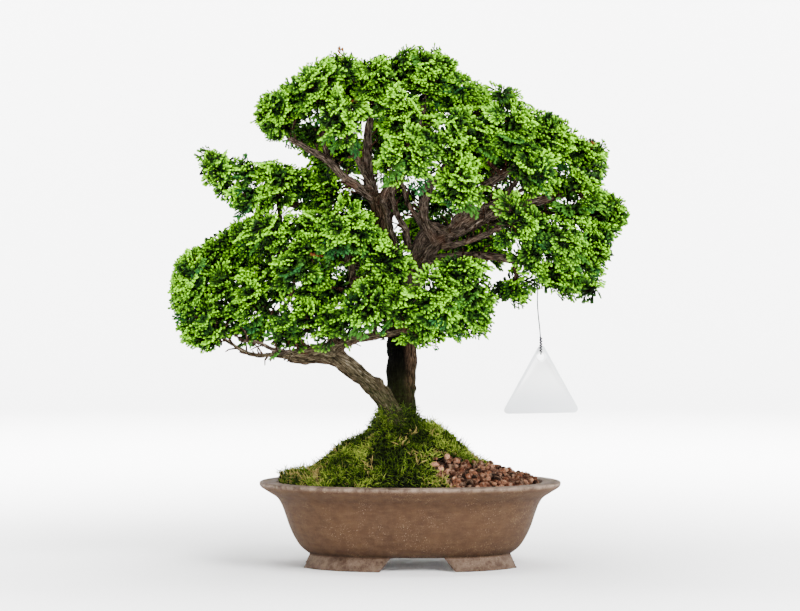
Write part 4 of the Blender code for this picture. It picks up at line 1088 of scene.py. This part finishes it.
# Studio. A pale sweep of floor that rises far behind the tree on every side, and large soft lights from the
# front, above and the sides.
FLOOR_REACH, FLOOR_RISE = 3.4, 1.4
sweep = bmesh.new()
line = [sweep.verts.new((0, 0, 0)), sweep.verts.new((FLOOR_REACH, 0, 0))]
for k in range(1, 11):
    turn = k * 0.157
    line.append(sweep.verts.new((FLOOR_REACH + FLOOR_RISE * math.sin(turn), 0,
                                 FLOOR_RISE - FLOOR_RISE * math.cos(turn))))
edges = [sweep.edges.new(pair) for pair in zip(line, line[1:])]
bmesh.ops.spin(sweep, geom=line + edges, axis=(0, 0, 1), angle=math.tau, steps=96, use_merge=True)
bmesh.ops.remove_doubles(sweep, verts=sweep.verts, dist=0.0001)
face_out(sweep)
floor = add_object("studio_floor", as_mesh("studio_floor", sweep))
floor.data.shade_smooth()
paper, shader, place = new_material("paper", 0.1)
grain = place.clouds(40, 2, 0.5)
lay_on(shader, grain.mix((247, 247, 247), (250, 250, 250)), 0.9 + grain * 0.05, grain, 0.00002)
floor.data.materials.append(paper)

# Each lamp as (name, place, size, watts, what it is aimed at). The sweep lamps light the floor's far rise.
CROWN_MIDDLE = (0, 0, 0.28)
lamps = [("key", (1.6, -2.0, 2.0), 1.4, 205, CROWN_MIDDLE), ("fill", (-1.7, -2.0, 1.0), 1.6, 6, CROWN_MIDDLE),
         ("top", (-0.1, 0.1, 2.6), 1.8, 130, CROWN_MIDDLE)]
for i in range(4):
    x, y = math.cos(math.pi * i / 2), math.sin(math.pi * i / 2)
    lamps.append(("sweep", (x * 1.1, y * 1.1, 2.2), 1.4, 760, (x * 4.6, y * 4.6, 0.7)))
for name, spot, size, power, aim in lamps:
    lamp = add_object(name, bpy.data.lights.new(name, "AREA"))
    lamp.data.size = size
    lamp.data.energy = power
    lamp.location = spot
    lamp.rotation_euler = (Vector(aim) - Vector(spot)).to_track_quat("-Z", "Y").to_euler()
world = bpy.data.worlds.new("studio")
bpy.context.scene.world = world
world.use_nodes = True
world.node_tree.nodes["Background"].inputs[0].default_value = (1, 1, 1, 1)
world.node_tree.nodes["Background"].inputs[1].default_value = 0.32
